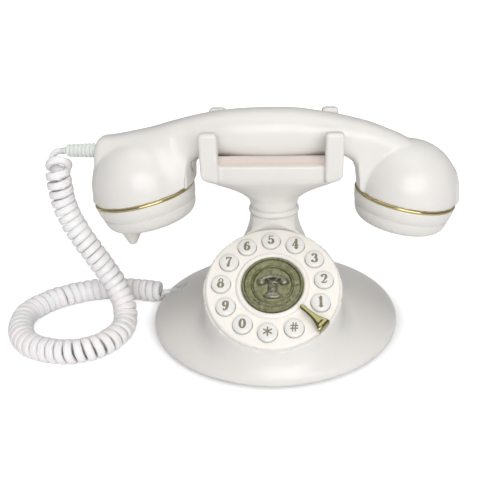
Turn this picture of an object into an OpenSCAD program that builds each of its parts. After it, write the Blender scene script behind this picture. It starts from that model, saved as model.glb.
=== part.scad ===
// Push-button telephone in the style of an old rotary desk telephone.
// A round glossy base carries a sloping dial disc, a slim neck and a four-pronged cradle.
// X runs along the handset, Y to the back, Z up. The feet stand on Z = 0.

/* [Base] */
// Radius of the round base at its widest
base_r = 82; // [81:0.5:83]
// Distance of the neck behind the middle of the base, as a negative number
base_y = -3; // [-3.3:0.1:-2.8]
// Height of the rubber feet
feet_h = 1.5; // [1:0.25:2]
// Wall thickness of the base shell
shell_t = 2.4; // [2:0.1:2.8]

/* [Dial] */
// Radius of the dial disc
dial_r = 40.3; // [39.5:0.1:41]
// Slope of the dial disc against the table, in degrees
dial_tilt = 33.5; // [32:0.5:35]
// Height of the dial's centre above the table
dial_z = 47.2; // [46:0.2:48]
// Distance of the dial's centre in front of the neck
dial_y = -47; // [-48:0.2:-46.5]
// Radius of the circle on which the buttons stand
key_ring_r = 30.8; // [30.4:0.1:31]
// Radius of one push button
key_r = 5.75; // [5.4:0.05:5.8]
// Travel of a push button
key_travel = 1.4; // [1:0.1:1.5]

/* [Cradle] */
// Height of the cradle's front edge
cradle_top = 114; // [113:0.5:114.5]
// Half the distance between the outer faces of the left and right prongs
prong_x = 41.6; // [41:0.1:42]
// Width of one prong
prong_w = 10; // [9:0.5:10.5]
// Height of the front prongs
front_prong_top = 135; // [132:0.5:136]
// Height of the rear prongs
rear_prong_top = 138.5; // [136:0.5:140]

/* [Handset] */
// Full length of the handset
handset_len = 230; // [228:0.5:232]
// Radius of the gold rings
ring_r = 32.3; // [32:0.1:32.5]
// Radius of the round domes over the cups
dome_r = 31.2; // [31:0.1:31.4]
// Wall thickness of the handset shells
hand_t = 2.2; // [2:0.1:2.4]
// Tilt of the mouthpiece cup, in degrees
mouth_tilt = 11.2; // [10.5:0.1:12]
// Tilt of the earpiece cup, in degrees
ear_tilt = 9.9; // [9:0.1:10.5]

/* [Cord] */
// Diameter of the cord itself
wire_d = 4.2; // [4:0.1:4.4]
// Outer diameter of the curled cord
curl_d = 15.4; // [15:0.1:15.6]

/* [Hidden] */

ivory = [0.93, 0.92, 0.89];
key_white = [0.88, 0.88, 0.86];
gold = [0.80, 0.66, 0.32];
bronze = [0.47, 0.47, 0.30];
steel = [0.62, 0.63, 0.65];
board_green = [0.12, 0.40, 0.22];
soft_grey = [0.30, 0.30, 0.32];

// Clearance between pieces that move past each other, and between glued pieces
gap = 0.2;

plate_t = 2;
plate_top = feet_h + plate_t;
lip_r = base_r - 3.4;

// Where the bell-shaped top of the base shell ends and the neck begins
bell_z = 41;
bell_r = 28.5;
collar_z = 76.5;
collar_h = 4.2;
yoke_z = collar_z + collar_h;
tube_r = 4;
tube_bore = 2.6;

// Depths below the dial's face, measured along its own axis
plate_depth = 3;
housing_depth = 16;
housing_t = 1.2;
board_depth = 12;
board_t = 1.6;
key_foot = 6.6;
mat_top = key_foot + key_travel + 0.3;
well_r = 38.9;
dial_screw_r = 16;
stop_angle = -43;

// Angles of the twelve buttons around the dial, from button 1 upwards
first_key = -22.8;
key_pitch = 28.85;

// Centres of the two cups, at the middle of their gold rings
mouth_x = -82.3;
mouth_z = 91.1;
ear_x = 83.3;
ear_z = 88.3;
ring_h = 2;
cap_h = 19.4;
// Height of the straight foot under each dome
dome_lift = 3.4;

// Floor pockets for the two sockets: the handset's at the left side, the line's at the back
handset_jack_turn = 77;
line_jack_turn = -20;
jack_face_y = 60;
jack_w = 13;
jack_d = 15;
jack_h = 11;

prong_front_y = -30;
prong_back_y = 30;
prong_d = 8.5;

// Route of the curled cord: down from the handset, one loop on the table, up to the left side
curl_route = [
    [-127.2, 0, 117.3], [-131, -1, 114.6], [-133.8, -2, 109], [-135, -3, 99], [-134, -4, 84],
    [-129, -5, 68], [-119, -7, 50], [-109, -9, 33], [-102.5, -13, 20], [-99, -21, 11],
    [-98.5, -31, 7.9], [-101, -42, 7.8], [-108.5, -52.5, 7.8], [-122, -58.5, 7.8],
    [-138, -57, 7.8], [-153, -50, 7.8], [-164.5, -34, 7.8], [-168.5, -14, 7.8],
    [-160, 3, 7.8], [-150, 11, 7.8], [-138, 18, 7.8], [-124, 21.3, 7.8], [-112, 21.5, 7.8],
    [-100, 19.9, 7.8], [-90, 17.75, 7.8], [-81.85, 15.9, 7.8]
];
// Direction in which the cord runs into its socket
cord_end_dir = [sin(handset_jack_turn), -cos(handset_jack_turn), 0];
// Route of the straight end of the cord into the plug
tail_route = [
    [-81.85, 15.9, 7.8], [-80.14, 15.5, 7.94], [-78.44, 15.11, 8.25], [-76.73, 14.71, 8.56],
    [-75.03, 14.32, 8.7]
];

// ---------- Shared functions ----------

function bez(a, b, c, d, t) =
    pow(1 - t, 3) * a + 3 * pow(1 - t, 2) * t * b + 3 * (1 - t) * t * t * c + pow(t, 3) * d;
function curve(a, b, c, d, n) = [for (i = [0:n]) bez(a, b, c, d, i / n)];
function unit(v) = v / norm(v);
function sgn_pow(v, e) = sign(v) * pow(abs(v), e);

// Catmull-Rom curve through the points of a route, n steps between two points
function at(p, i) = p[max(0, min(len(p) - 1, i))];
function smooth_step(p, i, t) =
    0.5 * (2 * at(p, i) + (at(p, i + 1) - at(p, i - 1)) * t
        + (2 * at(p, i - 1) - 5 * at(p, i) + 4 * at(p, i + 1) - at(p, i + 2)) * t * t
        + (3 * at(p, i) - at(p, i - 1) - 3 * at(p, i + 1) + at(p, i + 2)) * t * t * t);
function smooth_route(p, n) = concat(
    [for (i = [0:len(p) - 2]) for (k = [0:n - 1]) smooth_step(p, i, k / n)],
    [p[len(p) - 1]]
);

// A closed solid through equal rings of points
module skin(rings) {
    n = len(rings[0]);
    m = len(rings);
    pts = [for (r = rings) for (p = r) p];
    sides = [for (i = [0:m - 2]) for (j = [0:n - 1])
        let (a = i * n + j, b = i * n + (j + 1) % n) each [[a, b, b + n], [a, b + n, a + n]]];
    first = [for (j = [0:n - 1]) n - 1 - j];
    last = [for (j = [0:n - 1]) (m - 1) * n + j];
    polyhedron(points = pts, faces = concat(sides, [first, last]), convexity = 8);
}

// A tube of radius r along a route, with rings that stay square to it
function direction(p, i) = unit(at(p, i + 1) - at(p, i - 1));
module tube_along(p, r, sides, first_dir, last_dir) {
    skin([for (i = [0:len(p) - 1])
        let (d = i == 0 ? first_dir : (i == len(p) - 1 ? last_dir : direction(p, i)),
             u = unit(cross(d, [0, 0.75, -0.66])),
             v = cross(d, u))
        [for (k = [0:sides - 1]) p[i] + r * (cos(-k * 360 / sides) * u + sin(-k * 360 / sides) * v)]
    ]);
}

module dial_frame() {
    translate([0, dial_y, dial_z]) rotate([dial_tilt, 0, 0]) children();
}

module key_spot(i) {
    a = first_key + key_pitch * i;
    translate([key_ring_r * cos(a), key_ring_r * sin(a), 0]) children();
}

module mouth_frame() {
    translate([mouth_x, 0, mouth_z]) rotate([0, -mouth_tilt, 0]) children();
}

module ear_frame() {
    translate([ear_x, 0, ear_z]) rotate([0, ear_tilt, 0]) children();
}

// ---------- Base ----------

module base_middle() {
    translate([0, base_y, 0]) children();
}

// Dome of the base, moved inwards by t, and the bell that rises from it to the neck
module base_body(t) {
    base_middle() rotate_extrude($fn = 96) polygon(concat(
        [[0, feet_h], [base_r - 1 - t, feet_h], [base_r - 0.3 - t, feet_h + 1.2]],
        curve([base_r - t, 5], [base_r - 1.5 - t, 12.4 - t], [58 - t, 17.5 - t], [40 - t, 23 - t], 12),
        [[0, 24 - t]]
    ));
    rotate_extrude($fn = 96) polygon(concat(
        [[0, 13 - t]],
        curve([56 - t, 13 - t], [44 - t, 25 - t], [31 - t, 28], [bell_r - t, bell_z], 12),
        [[0, bell_z]]
    ));
}

// Sloping seat that carries the dial, from the disc's rim down into the dome
module dial_seat(t) {
    hull() {
        dial_frame() translate([0, 0, -plate_depth - 1.5 - t])
            cylinder(r = dial_r + 0.8 - t, h = 1.5, $fn = 64);
        translate([0, dial_y + 10.5, 5.5]) cylinder(r = dial_r + 3.5 - t, h = 1, $fn = 64);
    }
}

module neck_solid() {
    rotate_extrude($fn = 72) polygon(concat(
        [[0, bell_z]],
        curve([bell_r, bell_z], [25.5, 54], [16.2, 60], [15.2, collar_z], 12),
        [[0, collar_z]]
    ));
}

// The column is scooped out where the dial's housing stands
module neck_beside_dial() {
    difference() {
        neck_solid();
        dial_frame() translate([0, 0, -housing_depth - 3])
            cylinder(r = dial_r + 0.9, h = 60, $fn = 96);
    }
}

module jack_frame(side) {
    base_middle() rotate([0, 0, side < 0 ? handset_jack_turn : line_jack_turn]) children();
}

module jack_pocket(side) {
    jack_frame(side) translate([-jack_w / 2, jack_face_y - 5, 0])
        cube([jack_w, 45, plate_top + jack_h]);
}

module screw_ring(r, turn) {
    base_middle() for (a = [0:3]) rotate([0, 0, turn + 90 * a]) translate([r, 0, 0]) children();
}

base_screw_r = 69;
base_screw_turn = 60;

module base_shell() {
    color(ivory) difference() {
        union() {
            difference() {
                union() {
                    base_body(0);
                    difference() {
                        dial_seat(0);
                        neck_beside_dial();
                    }
                }
                base_body(shell_t);
                dial_seat(shell_t);
                translate([0, base_y, -1]) cylinder(r = lip_r + gap / 2, h = 6.5, $fn = 96);
            }
            // Bosses for the bottom screws
            intersection() {
                base_body(1);
                screw_ring(base_screw_r, base_screw_turn)
                    translate([0, 0, plate_top + gap]) cylinder(r = 3.4, h = 30, $fn = 24);
            }
            // Walls around the two socket pockets
            intersection() {
                base_body(1);
                for (side = [-1, 1]) jack_frame(side)
                    translate([-jack_w / 2 - 1.2, jack_face_y, plate_top + gap])
                        cube([jack_w + 2.4, 40, jack_h + 1]);
            }
            // Collar inside the bell that takes the neck tube
            translate([0, 0, bell_z - 3]) cylinder(r = bell_r - 1, h = 3, $fn = 48);
        }
        // Round well for the dial housing, open at the top
        dial_frame() translate([0, 0, -housing_depth - 3])
            cylinder(r = well_r, h = 40, $fn = 96);
        // Hole for the neck tube
        cylinder(r = tube_r + 0.1, h = 60, $fn = 32);
        screw_ring(base_screw_r, base_screw_turn) cylinder(r = 1.55, h = 10.5, $fn = 24);
        jack_pocket(-1);
        jack_pocket(1);
        // Slot for the volume slider at the back
        translate([-7, 60 + base_y, 5.5]) cube([14, 30, 3.2]);
    }
}

module base_plate() {
    color(ivory) difference() {
        union() {
            translate([0, base_y, feet_h]) cylinder(r = lip_r, h = plate_t, $fn = 96);
            // Posts under the main board
            for (x = [-34, 34], y = [-46, -14])
                translate([x, y, plate_top - 0.1]) cylinder(r = 3, h = 4.6, $fn = 24);
        }
        screw_ring(base_screw_r, base_screw_turn) cylinder(r = 1.6, h = 10, $fn = 24);
        // Vents under the ringer
        for (i = [-2:2]) translate([57 + 4.5 * i, -2, 0]) cylinder(r = 1.2, h = 10, $fn = 24);
    }
}

module rubber_feet() {
    color(soft_grey) base_middle() for (a = [45:90:315]) rotate([0, 0, a]) translate([60, 0, 0])
        cylinder(r = 6, h = feet_h, $fn = 32);
}

module base_screws() {
    color(steel) screw_ring(base_screw_r, base_screw_turn) {
        translate([0, 0, feet_h]) cylinder(r = 1.5, h = 8, $fn = 24);
        translate([0, 0, feet_h - 1.1]) difference() {
            cylinder(r = 2.7, h = 1.1, $fn = 24);
            translate([-0.4, -2, -0.1]) cube([0.8, 4, 0.7]);
            translate([-2, -0.4, -0.1]) cube([4, 0.8, 0.7]);
        }
    }
}

module ballast_weight() {
    color(steel) translate([0, 0, plate_top]) linear_extrude(5) difference() {
        intersection() {
            circle(r = 56, $fn = 72);
            translate([-38, 8]) square([82, 26.5]);
        }
        circle(r = 13, $fn = 48);
    }
}

module main_circuit_board() {
    board_z = plate_top + 4.5;
    color(board_green) translate([-39, -51, board_z]) cube([78, 42, 1.6]);
    color(soft_grey) {
        translate([-12, -40, board_z + 1.6]) cube([16, 9, 2.2]);
        translate([12, -44, board_z + 1.6]) cube([9, 7, 2.2]);
        translate([-30, -24, board_z + 1.6]) cylinder(r = 4, h = 6, $fn = 32);
        translate([24, -20, board_z + 1.6]) cylinder(r = 3, h = 5, $fn = 32);
    }
}

module ringer() {
    color("black") translate([57, -2, plate_top]) difference() {
        cylinder(r = 13, h = 5, $fn = 48);
        translate([0, 0, 4]) cylinder(r = 2, h = 2, $fn = 24);
    }
}

module ringer_switch() {
    color(steel) difference() {
        translate([-9, 58 + base_y, plate_top]) cube([18, 8, 6]);
        translate([-7.2, 61.2 + base_y, plate_top + 1.6]) cube([14.4, 5, 3.8]);
    }
}

// The slider's tip stands out behind the base for the fingertip
slider_end = 83;
module ringer_slider() {
    start_y = 61.6 + base_y;
    color(soft_grey) translate([-4, start_y, 5.9]) cube([3.5, slider_end - start_y, 2.4]);
}

module jack_body(side, cavity_w) {
    jack_frame(side) difference() {
        translate([-jack_w / 2 + 0.1, jack_face_y - jack_d, plate_top])
            cube([jack_w - 0.2, jack_d, jack_h - 0.1]);
        translate([-cavity_w / 2, jack_face_y - 12, plate_top + 1.7])
            cube([cavity_w, 13, 7]);
        // Latch slot
        translate([-2.2, jack_face_y - 12, plate_top + 8])
            cube([4.4, 13, 1.8]);
    }
}

module line_jack() {
    color("black") jack_body(1, 9.9);
}

module handset_jack() {
    color("black") jack_body(-1, 7.9);
}

// ---------- Neck ----------

module neck_column() {
    color(ivory) difference() {
        neck_beside_dial();
        translate([0, 0, bell_z - 1]) cylinder(r = tube_r + 0.1, h = 60, $fn = 32);
        // Hollow foot of the column
        translate([0, 0, bell_z - 1]) cylinder(r1 = 20, r2 = 12, h = 22, $fn = 48);
    }
}

module neck_collar() {
    color(ivory) rotate_extrude($fn = 72) difference() {
        union() {
            translate([0, collar_z]) square([14.6, collar_h]);
            translate([14.2, collar_z + 2.1]) circle(r = 2.1, $fn = 32);
        }
        translate([-1, collar_z - 1]) square([tube_r + 1.1, collar_h + 2]);
        translate([-10, collar_z - 1]) square([10, collar_h + 2]);
    }
}

tube_bottom = 31;
tube_top = 97;
module neck_tube() {
    color(steel) translate([0, 0, tube_bottom]) difference() {
        cylinder(r = tube_r, h = tube_top - tube_bottom, $fn = 32);
        translate([0, 0, -1]) cylinder(r = tube_bore, h = 90, $fn = 32);
    }
}

nut_h = 4;
nut_r = 7.5;
module tube_nuts() {
    color(steel) for (z = [bell_z - 3 - nut_h, tube_top - nut_h]) translate([0, 0, z])
        difference() {
            cylinder(r = nut_r, h = nut_h, $fn = 6);
            translate([0, 0, -1]) cylinder(r = tube_r, h = nut_h + 2, $fn = 32);
        }
}

// ---------- Cradle ----------

yoke_floor = tube_top - nut_h;

// Half width, half depth and squareness of the yoke at each height
yoke_levels = [
    [yoke_z, 14.6, 14.6, 2], [86, 15, 15, 2.1], [90, 18, 16.4, 2.3], [94, 24.5, 18.8, 2.6],
    [97.5, 32, 21.5, 3], [100.5, 38.2, 24, 3.6], [103.5, 41.2, 26, 4.4], [107, 42.2, 27, 5],
    [cradle_top, 42.6, 27.5, 5.4]
];
function yoke_ring(l, t) = [for (k = [0:39]) let (a = -9 * k)
    [(l[1] - t) * sgn_pow(cos(a), 2 / l[3]), (l[2] - t) * sgn_pow(sin(a), 2 / l[3]), l[0]]];

module yoke_solid() {
    skin([for (l = yoke_levels) yoke_ring(l, 0)]);
}

// Hollow above the floor of the yoke, filled later by the saddle plate
module yoke_hollow() {
    skin([for (l = [for (k = [4:8]) yoke_levels[k]]) yoke_ring(
        [l[0] + (l[0] == cradle_top ? 1 : 1.6), l[1], l[2], l[3]], 3)]);
}

prong_foot = 101;
module prong(x0, y0, top) {
    r = 2.4;
    translate([x0, y0 + prong_d, prong_foot]) rotate([90, 0, 0]) linear_extrude(prong_d) union() {
        square([prong_w, top - prong_foot - r]);
        translate([r, 0]) square([prong_w - 2 * r, top - prong_foot]);
        for (x = [r, prong_w - r]) translate([x, top - prong_foot - r]) circle(r = r, $fn = 24);
    }
}

module grip_clearance() {
    // Trough in which the handset's grip lies
    translate([-60, 0, 128]) rotate([0, 90, 0]) cylinder(r = 17.8, h = 120, $fn = 64);
}

cradle_screw_spots = [[-26, -14], [26, -14], [-26, 14], [26, 14]];
hollow_floor = 99.1;
saddle_z = cradle_top - 6;

module cradle_half(side) {
    difference() {
        union() {
            intersection() {
                difference() {
                    yoke_solid();
                    yoke_hollow();
                }
                translate([-60, side < 0 ? -60 : 0, 60]) cube([120, 60, 80]);
            }
            // Bosses under the saddle plate
            for (p = cradle_screw_spots) if (p[1] * side > 0)
                translate([p[0], p[1], hollow_floor - 0.1])
                    cylinder(r = 3.2, h = saddle_z - hollow_floor + 0.1, $fn = 24);
            for (x0 = [-prong_x, prong_x - prong_w])
                prong(x0, side < 0 ? prong_front_y : prong_back_y - prong_d,
                    side < 0 ? front_prong_top : rear_prong_top);
        }
        grip_clearance();
        // Bore for the neck tube, and room for its nut
        translate([0, 0, 70]) cylinder(r = tube_r + 0.1, h = 60, $fn = 32);
        translate([0, 0, yoke_floor]) cylinder(r = 9, h = 30, $fn = 32);
        for (p = cradle_screw_spots)
            translate([p[0], p[1], 90]) cylinder(r = 1.3, h = 30, $fn = 24);
    }
}

module cradle_front() {
    color(ivory) cradle_half(-1);
}

module cradle_rear() {
    color(ivory) cradle_half(1);
}

plunger_x = 22;
plunger_r = 3;
module saddle_plate() {
    color(ivory) difference() {
        translate([0, 0, saddle_z]) linear_extrude(5.8) polygon([
            for (p = yoke_ring(yoke_levels[7], 3.5)) [p[0], p[1]]
        ]);
        grip_clearance();
        // Notches for the four prongs
        for (x = [-1, 1], y = [-1, 1])
            translate([x * 41.4 - 10, y * 31.3 - 10, 90]) cube([20, 20, 40]);
        for (x = [-plunger_x, plunger_x])
            translate([x, 0, 90]) cylinder(r = plunger_r + 0.25, h = 40, $fn = 32);
        for (p = cradle_screw_spots) {
            translate([p[0], p[1], 90]) cylinder(r = 1.6, h = 40, $fn = 24);
            translate([p[0], p[1], 110.2]) cylinder(r = 3, h = 40, $fn = 24);
        }
    }
}

module cradle_screws() {
    color(steel) for (p = cradle_screw_spots) translate([p[0], p[1], 0]) {
        translate([0, 0, 102.6]) cylinder(r = 1.25, h = 7.6, $fn = 24);
        translate([0, 0, 110.2]) cylinder(r = 2.6, h = 1.4, $fn = 24);
    }
}

hook_z = 102;
hook_top = 112.4;
module hook_plungers() {
    color(ivory) {
        // Bridge that joins the two buttons under the saddle plate
        translate([-plunger_x - 3, -3, hook_z]) cube([2 * plunger_x + 6, 6, 2]);
        for (x = [-plunger_x, plunger_x]) translate([x, 0, hook_z]) {
            cylinder(r = plunger_r, h = hook_top - hook_z - 0.8, $fn = 32);
            cylinder(r = plunger_r - 0.8, h = hook_top - hook_z, $fn = 32);
        }
    }
}

module hook_spring() {
    color(steel) translate([14, 0, hollow_floor]) difference() {
        cylinder(r = 2.4, h = 2.6, $fn = 32);
        translate([0, 0, -1]) cylinder(r = 1.8, h = 9, $fn = 32);
    }
}

module hook_switch() {
    color("black") translate([-21, -3.2, hollow_floor]) cube([9, 6.4, 2.6]);
}

// ---------- Dial ----------

module dial_screw_spots() {
    for (a = [60:120:300]) rotate([0, 0, a]) translate([dial_screw_r, 0, 0]) children();
}

module dial_housing() {
    color(ivory) dial_frame() difference() {
        union() {
            difference() {
                translate([0, 0, -housing_depth])
                    cylinder(r = well_r - gap, h = housing_depth - plate_depth, $fn = 96);
                translate([0, 0, -housing_depth + 2])
                    cylinder(r = well_r - gap - housing_t, h = housing_depth, $fn = 96);
            }
            // Posts that carry the keypad board
            dial_screw_spots() translate([0, 0, -housing_depth])
                cylinder(r = 3.2, h = housing_depth - board_depth, $fn = 24);
        }
        dial_screw_spots() translate([0, 0, -30]) cylinder(r = 1.6, h = 40, $fn = 24);
        // Slot for the ribbon cable
        translate([-12, -8, -30]) cube([24, 4, 30]);
    }
}

module dial_plate() {
    color(ivory) dial_frame() difference() {
        rotate_extrude($fn = 96) union() {
            translate([0, -plate_depth]) square([dial_r - 1.5, plate_depth]);
            translate([0, -plate_depth]) square([dial_r, plate_depth - 1.5]);
            translate([dial_r - 1.5, -1.5]) circle(r = 1.5, $fn = 32);
        }
        for (i = [0:11]) key_spot(i) translate([0, 0, -plate_depth - 1])
            cylinder(r = key_r + gap, h = plate_depth + 2, $fn = 36);
        // Slot for the foot of the finger stop
        rotate([0, 0, stop_angle]) translate([dial_r - 3.4, -2.1, -plate_depth - 1])
            cube([1.4, 4.2, plate_depth + 2]);
        dial_screw_spots() translate([0, 0, -plate_depth - 1]) cylinder(r = 1.55, h = 3, $fn = 24);
    }
}

module medallion_ring() {
    color(ivory) dial_frame() rotate_extrude($fn = 96) intersection() {
        translate([20.4, 0]) circle(r = 1.8, $fn = 48);
        square([30, 5]);
    }
}

module medallion() {
    color(bronze) dial_frame() rotate_extrude($fn = 96) polygon([
        [0, 0], [18.5, 0], [18.5, 1.2], [17.9, 1.6], [16.9, 1.6], [16.5, 1.1],
        [12.6, 1.1], [12.3, 1.4], [11.7, 1.4], [11.4, 1.0], [0, 1.0]
    ]);
}

stop_in = 23;
stop_z = 3.6;
module finger_stop() {
    color(gold) dial_frame() rotate([0, 0, stop_angle]) {
        // Tapering bar above the disc
        translate([0, 0, stop_z]) linear_extrude(1.4) union() {
            translate([stop_in + 1.2, 0]) circle(r = 1.2, $fn = 24);
            polygon([
                [stop_in + 1.2, -1.2], [30, -1.5], [35, -2.3], [dial_r - 0.4, -4],
                [dial_r - 0.4, 4], [35, 2.3], [30, 1.5], [stop_in + 1.2, 1.2]
            ]);
        }
        // Foot that drops outside the rim and hooks over the edge of the disc
        translate([dial_r + 0.05, -4, -1]) cube([0.9, 8, stop_z + 2.4]);
        translate([dial_r - 0.6, -4, stop_z]) cube([1.5, 8, 1.4]);
        // Tongue through the slot in the disc
        translate([dial_r - 3.3, -2, -plate_depth]) cube([1.2, 4, plate_depth + stop_z + 0.2]);
    }
}

module keypad_mat() {
    color(soft_grey) dial_frame() {
        mat_z = board_t - board_depth;
        translate([0, 0, mat_z]) difference() {
            cylinder(r = 36, h = 1.4, $fn = 72);
            translate([0, 0, -1]) cylinder(r = 20, h = 4, $fn = 48);
        }
        for (i = [0:11]) key_spot(i) translate([0, 0, mat_z + 1])
            cylinder(r = 2.4, h = -mat_top - mat_z - 1, $fn = 24);
    }
}

module keypad_board() {
    color(board_green) dial_frame() translate([0, 0, -board_depth]) difference() {
        cylinder(r = 36.2, h = board_t, $fn = 72);
        dial_screw_spots() translate([0, 0, -1]) cylinder(r = 1.6, h = 5, $fn = 24);
    }
}

// Flat cable from the keypad board down to the main board
module keypad_ribbon() {
    color(steel) translate([-10, -44.6, plate_top + 6.1]) cube([20, 0.6, 24.6]);
}

module dial_screws() {
    color(steel) dial_frame() dial_screw_spots() {
        translate([0, 0, -housing_depth]) cylinder(r = 1.5, h = housing_depth - 1.2, $fn = 24);
        translate([0, 0, -housing_depth - 1.6]) cylinder(r = 2.8, h = 1.6, $fn = 24);
    }
}

// One push button: crowned cap, collar under the disc and a foot above the mat
module key(i) {
    color(key_white) dial_frame() key_spot(i) rotate_extrude($fn = 48) polygon([
        [0, 2.5], [3.4, 2.35], [4.9, 2.05], [key_r - 0.25, 1.6], [key_r, 1.1],
        [key_r, -plate_depth - 0.2], [key_r + 0.5, -plate_depth - 0.2],
        [key_r + 0.5, -plate_depth - 1.2], [2.2, -plate_depth - 1.2],
        [2.2, -key_foot], [0, -key_foot]
    ]);
}

// ---------- Handset ----------

half_len = handset_len / 2;

// Top edge, bottom edge, half thickness and squareness of the arm along X
function arm_top(x) = lookup(x, [
    [-half_len, 110], [-112.5, 117], [-110, 122.4], [-107, 124.6], [-104, 125.2], [-98, 125.9],
    [-83, 129.2], [-73, 131.6], [-63, 134.4], [-53, 137], [-43, 139.2], [-28, 141.5],
    [-14, 142.5], [0, 142.8], [14, 142.4], [25, 141], [40, 138.3], [50, 136], [60, 133.2],
    [70, 129.4], [80, 125.2], [90, 117.8], [100, 108.8], [107, 99], [112, 90], [half_len, 80]
]);
function arm_bottom(x) = lookup(x, [
    [-half_len, 74], [-57, 74], [-53.6, 84], [-52.4, 96], [-51, 106], [-48, 111.4],
    [-42, 114.2], [-33, 114.6], [-17, 112.3], [0, 111.2], [17, 112.2], [33, 114.2],
    [42, 113.8], [48, 110.8], [51, 105], [52.6, 95], [53.8, 83], [57, 74], [half_len, 74]
]);
function arm_half(x) = lookup(x, [
    [-half_len, 8.4], [-110, 9], [-80, 9.6], [-60, 11.4], [-40, 14], [-15, 15.8], [15, 15.8],
    [40, 14], [60, 11.4], [80, 9.6], [100, 8.4], [half_len, 4]
]);
arm_stations = [
    -half_len, -112.5, -110, -107, -98, -83, -68, -57, -53.6, -52.4, -51, -48, -42, -33, -17,
    0, 17, 33, 42, 48, 51, 52.6, 53.8, 57, 68, 80, 90, 100, 107, 112, half_len
];
function arm_ring(x, t) = let (
        a = arm_top(x + sign(x) * t) - t,
        b = arm_bottom(x - sign(x) * t) + t,
        e = abs(x) < 45 ? 2.2 : 2.8
    ) [for (k = [0:15]) let (q = -22.5 * k - 11.25) [
        x,
        (arm_half(x) - t) * sgn_pow(cos(q), 2 / e),
        (a + b) / 2 + (a - b) / 2 * sgn_pow(sin(q), 2 / e)
    ]];

// Stations move outwards with the wall at the insides of the cups, and inwards at the ends
module arm(t) {
    skin([for (x = arm_stations)
        arm_ring(abs(x) < 60 ? x + sign(x) * t : min(max(x, t - half_len), half_len - t), t)]);
}

module cup_dome(t) {
    rotate_extrude($fn = 72) polygon(concat(
        [[0, 0], [dome_r - t, 0]],
        [for (a = [0:7.5:90]) [(dome_r - t) * cos(a), dome_lift + (dome_r - t) * sin(a)]]
    ));
}

// Everything below a ring plane is cut away
module below_cups() {
    mouth_frame() translate([-70, -60, -90]) cube([110, 120, 90]);
    ear_frame() translate([-40, -60, -90]) cube([110, 120, 90]);
}

module handset_solid(t) {
    arm(t);
    mouth_frame() cup_dome(t);
    ear_frame() cup_dome(t);
}

// The cover under the grip reaches from the inside of one cup to the other
module cover_zone(t) {
    translate([0, 60, 0]) rotate([90, 0, 0]) linear_extrude(120) polygon([
        [-58 - t, 70], [-58 - t, 104], [-52, 113.5 + t], [-43, 117.5 + t], [-30, 118 + t],
        [0, 115.5 + t], [30, 118 + t], [43, 117.2 + t], [52, 113 + t], [58 + t, 103],
        [58 + t, 70]
    ]);
}

relief_z = 117.3;
relief_end = -127.2;
hand_screw_x = 65;
tab_z = 101;

// Tabs of the cover that reach into the cups, each with a screw through it
module cover_tabs() {
    for (s = [-1, 1]) translate([s * 61.3 - 8.5, -5, tab_z]) cube([17, 10, 2.4]);
}

module hand_screw_spots(z) {
    for (x = [-hand_screw_x, hand_screw_x]) translate([x, 0, z]) children();
}

module handset_upper_shell() {
    color(ivory) difference() {
        union() {
            difference() {
                handset_solid(0);
                handset_solid(hand_t);
                below_cups();
                cover_zone(0);
            }
            // Bosses above the tabs of the cover
            intersection() {
                handset_solid(1);
                hand_screw_spots(tab_z + 2.5) cylinder(r = 3.2, h = 40, $fn = 24);
            }
        }
        hand_screw_spots(90) cylinder(r = 1.3, h = 24, $fn = 24);
        // Hole for the strain relief
        translate([-130, 0, relief_z]) rotate([0, 90, 0]) cylinder(r = 5, h = 30, $fn = 32);
    }
}

module handset_lower_shell() {
    color(ivory) difference() {
        union() {
            difference() {
                intersection() {
                    handset_solid(0);
                    cover_zone(-0.1);
                }
                handset_solid(hand_t);
                below_cups();
            }
            cover_tabs();
        }
        hand_screw_spots(90) cylinder(r = 1.6, h = 24, $fn = 24);
    }
}

// Rounded cap under a gold ring: two bands with a groove between them
module cap_body() {
    difference() {
        rotate_extrude($fn = 96) polygon(concat(
            [[0, -ring_h]],
            [[ring_r - 0.3, -ring_h], [ring_r - 0.9, -6], [ring_r - 1.8, -9.4],
             [ring_r - 2.5, -9.9], [ring_r - 2.5, -10.5], [ring_r - 2.2, -10.7]],
            curve([ring_r - 2.2, -10.7], [ring_r - 2.8, -15.5], [ring_r - 4.8, -cap_h],
                [ring_r - 9.5, -cap_h], 8),
            [[0, -cap_h]]
        ));
        translate([0, 0, -cap_h + 2.4]) cylinder(r = ring_r - 7.4, h = 40, $fn = 72);
    }
}

module earpiece_cap() {
    color(ivory) ear_frame() difference() {
        cap_body();
        // Sound holes
        translate([0, 0, -30]) cylinder(r = 1.1, h = 20, $fn = 24);
        for (a = [0:60:300]) rotate([0, 0, a]) translate([5, 0, -30])
            cylinder(r = 1.1, h = 20, $fn = 24);
        for (a = [15:30:345]) rotate([0, 0, a]) translate([10, 0, -30])
            cylinder(r = 1.1, h = 20, $fn = 24);
    }
}

horn_x = -13.2;
horn_y = -5;
module mouthpiece_cap() {
    color(ivory) mouth_frame() difference() {
        union() {
            cap_body();
            // Short horn in front of the microphone
            translate([horn_x, horn_y, -cap_h]) rotate([0, 12, 0]) rotate_extrude($fn = 48)
                polygon(concat(
                    [[0, 3.2]], [[11.5, 3.2]],
                    curve([11.5, 0], [7.4, -1.8], [4.8, -8.5], [2.7, -12.4], 6),
                    [[1.5, -13.6], [0, -13.9]]
                ));
        }
        translate([0, 0, -cap_h + 2.4]) cylinder(r = ring_r - 7.4, h = 40, $fn = 72);
        for (a = [0:60:300]) translate([9, 0, -30]) rotate([0, 0, a]) translate([4.2, 0, 0])
            cylinder(r = 1, h = 20, $fn = 24);
    }
}

module gold_ring() {
    rotate_extrude($fn = 96) difference() {
        union() {
            translate([dome_r - 4, -ring_h]) square([4, ring_h]);
            translate([ring_r - 1.3, -ring_h / 2]) circle(r = ring_h / 2 + 0.3, $fn = 32);
            translate([ring_r - 2.4, -ring_h]) square([1.4, ring_h]);
        }
        translate([0, 0]) square([50, 5]);
        translate([0, -ring_h - 5]) square([50, 5]);
    }
}

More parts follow.
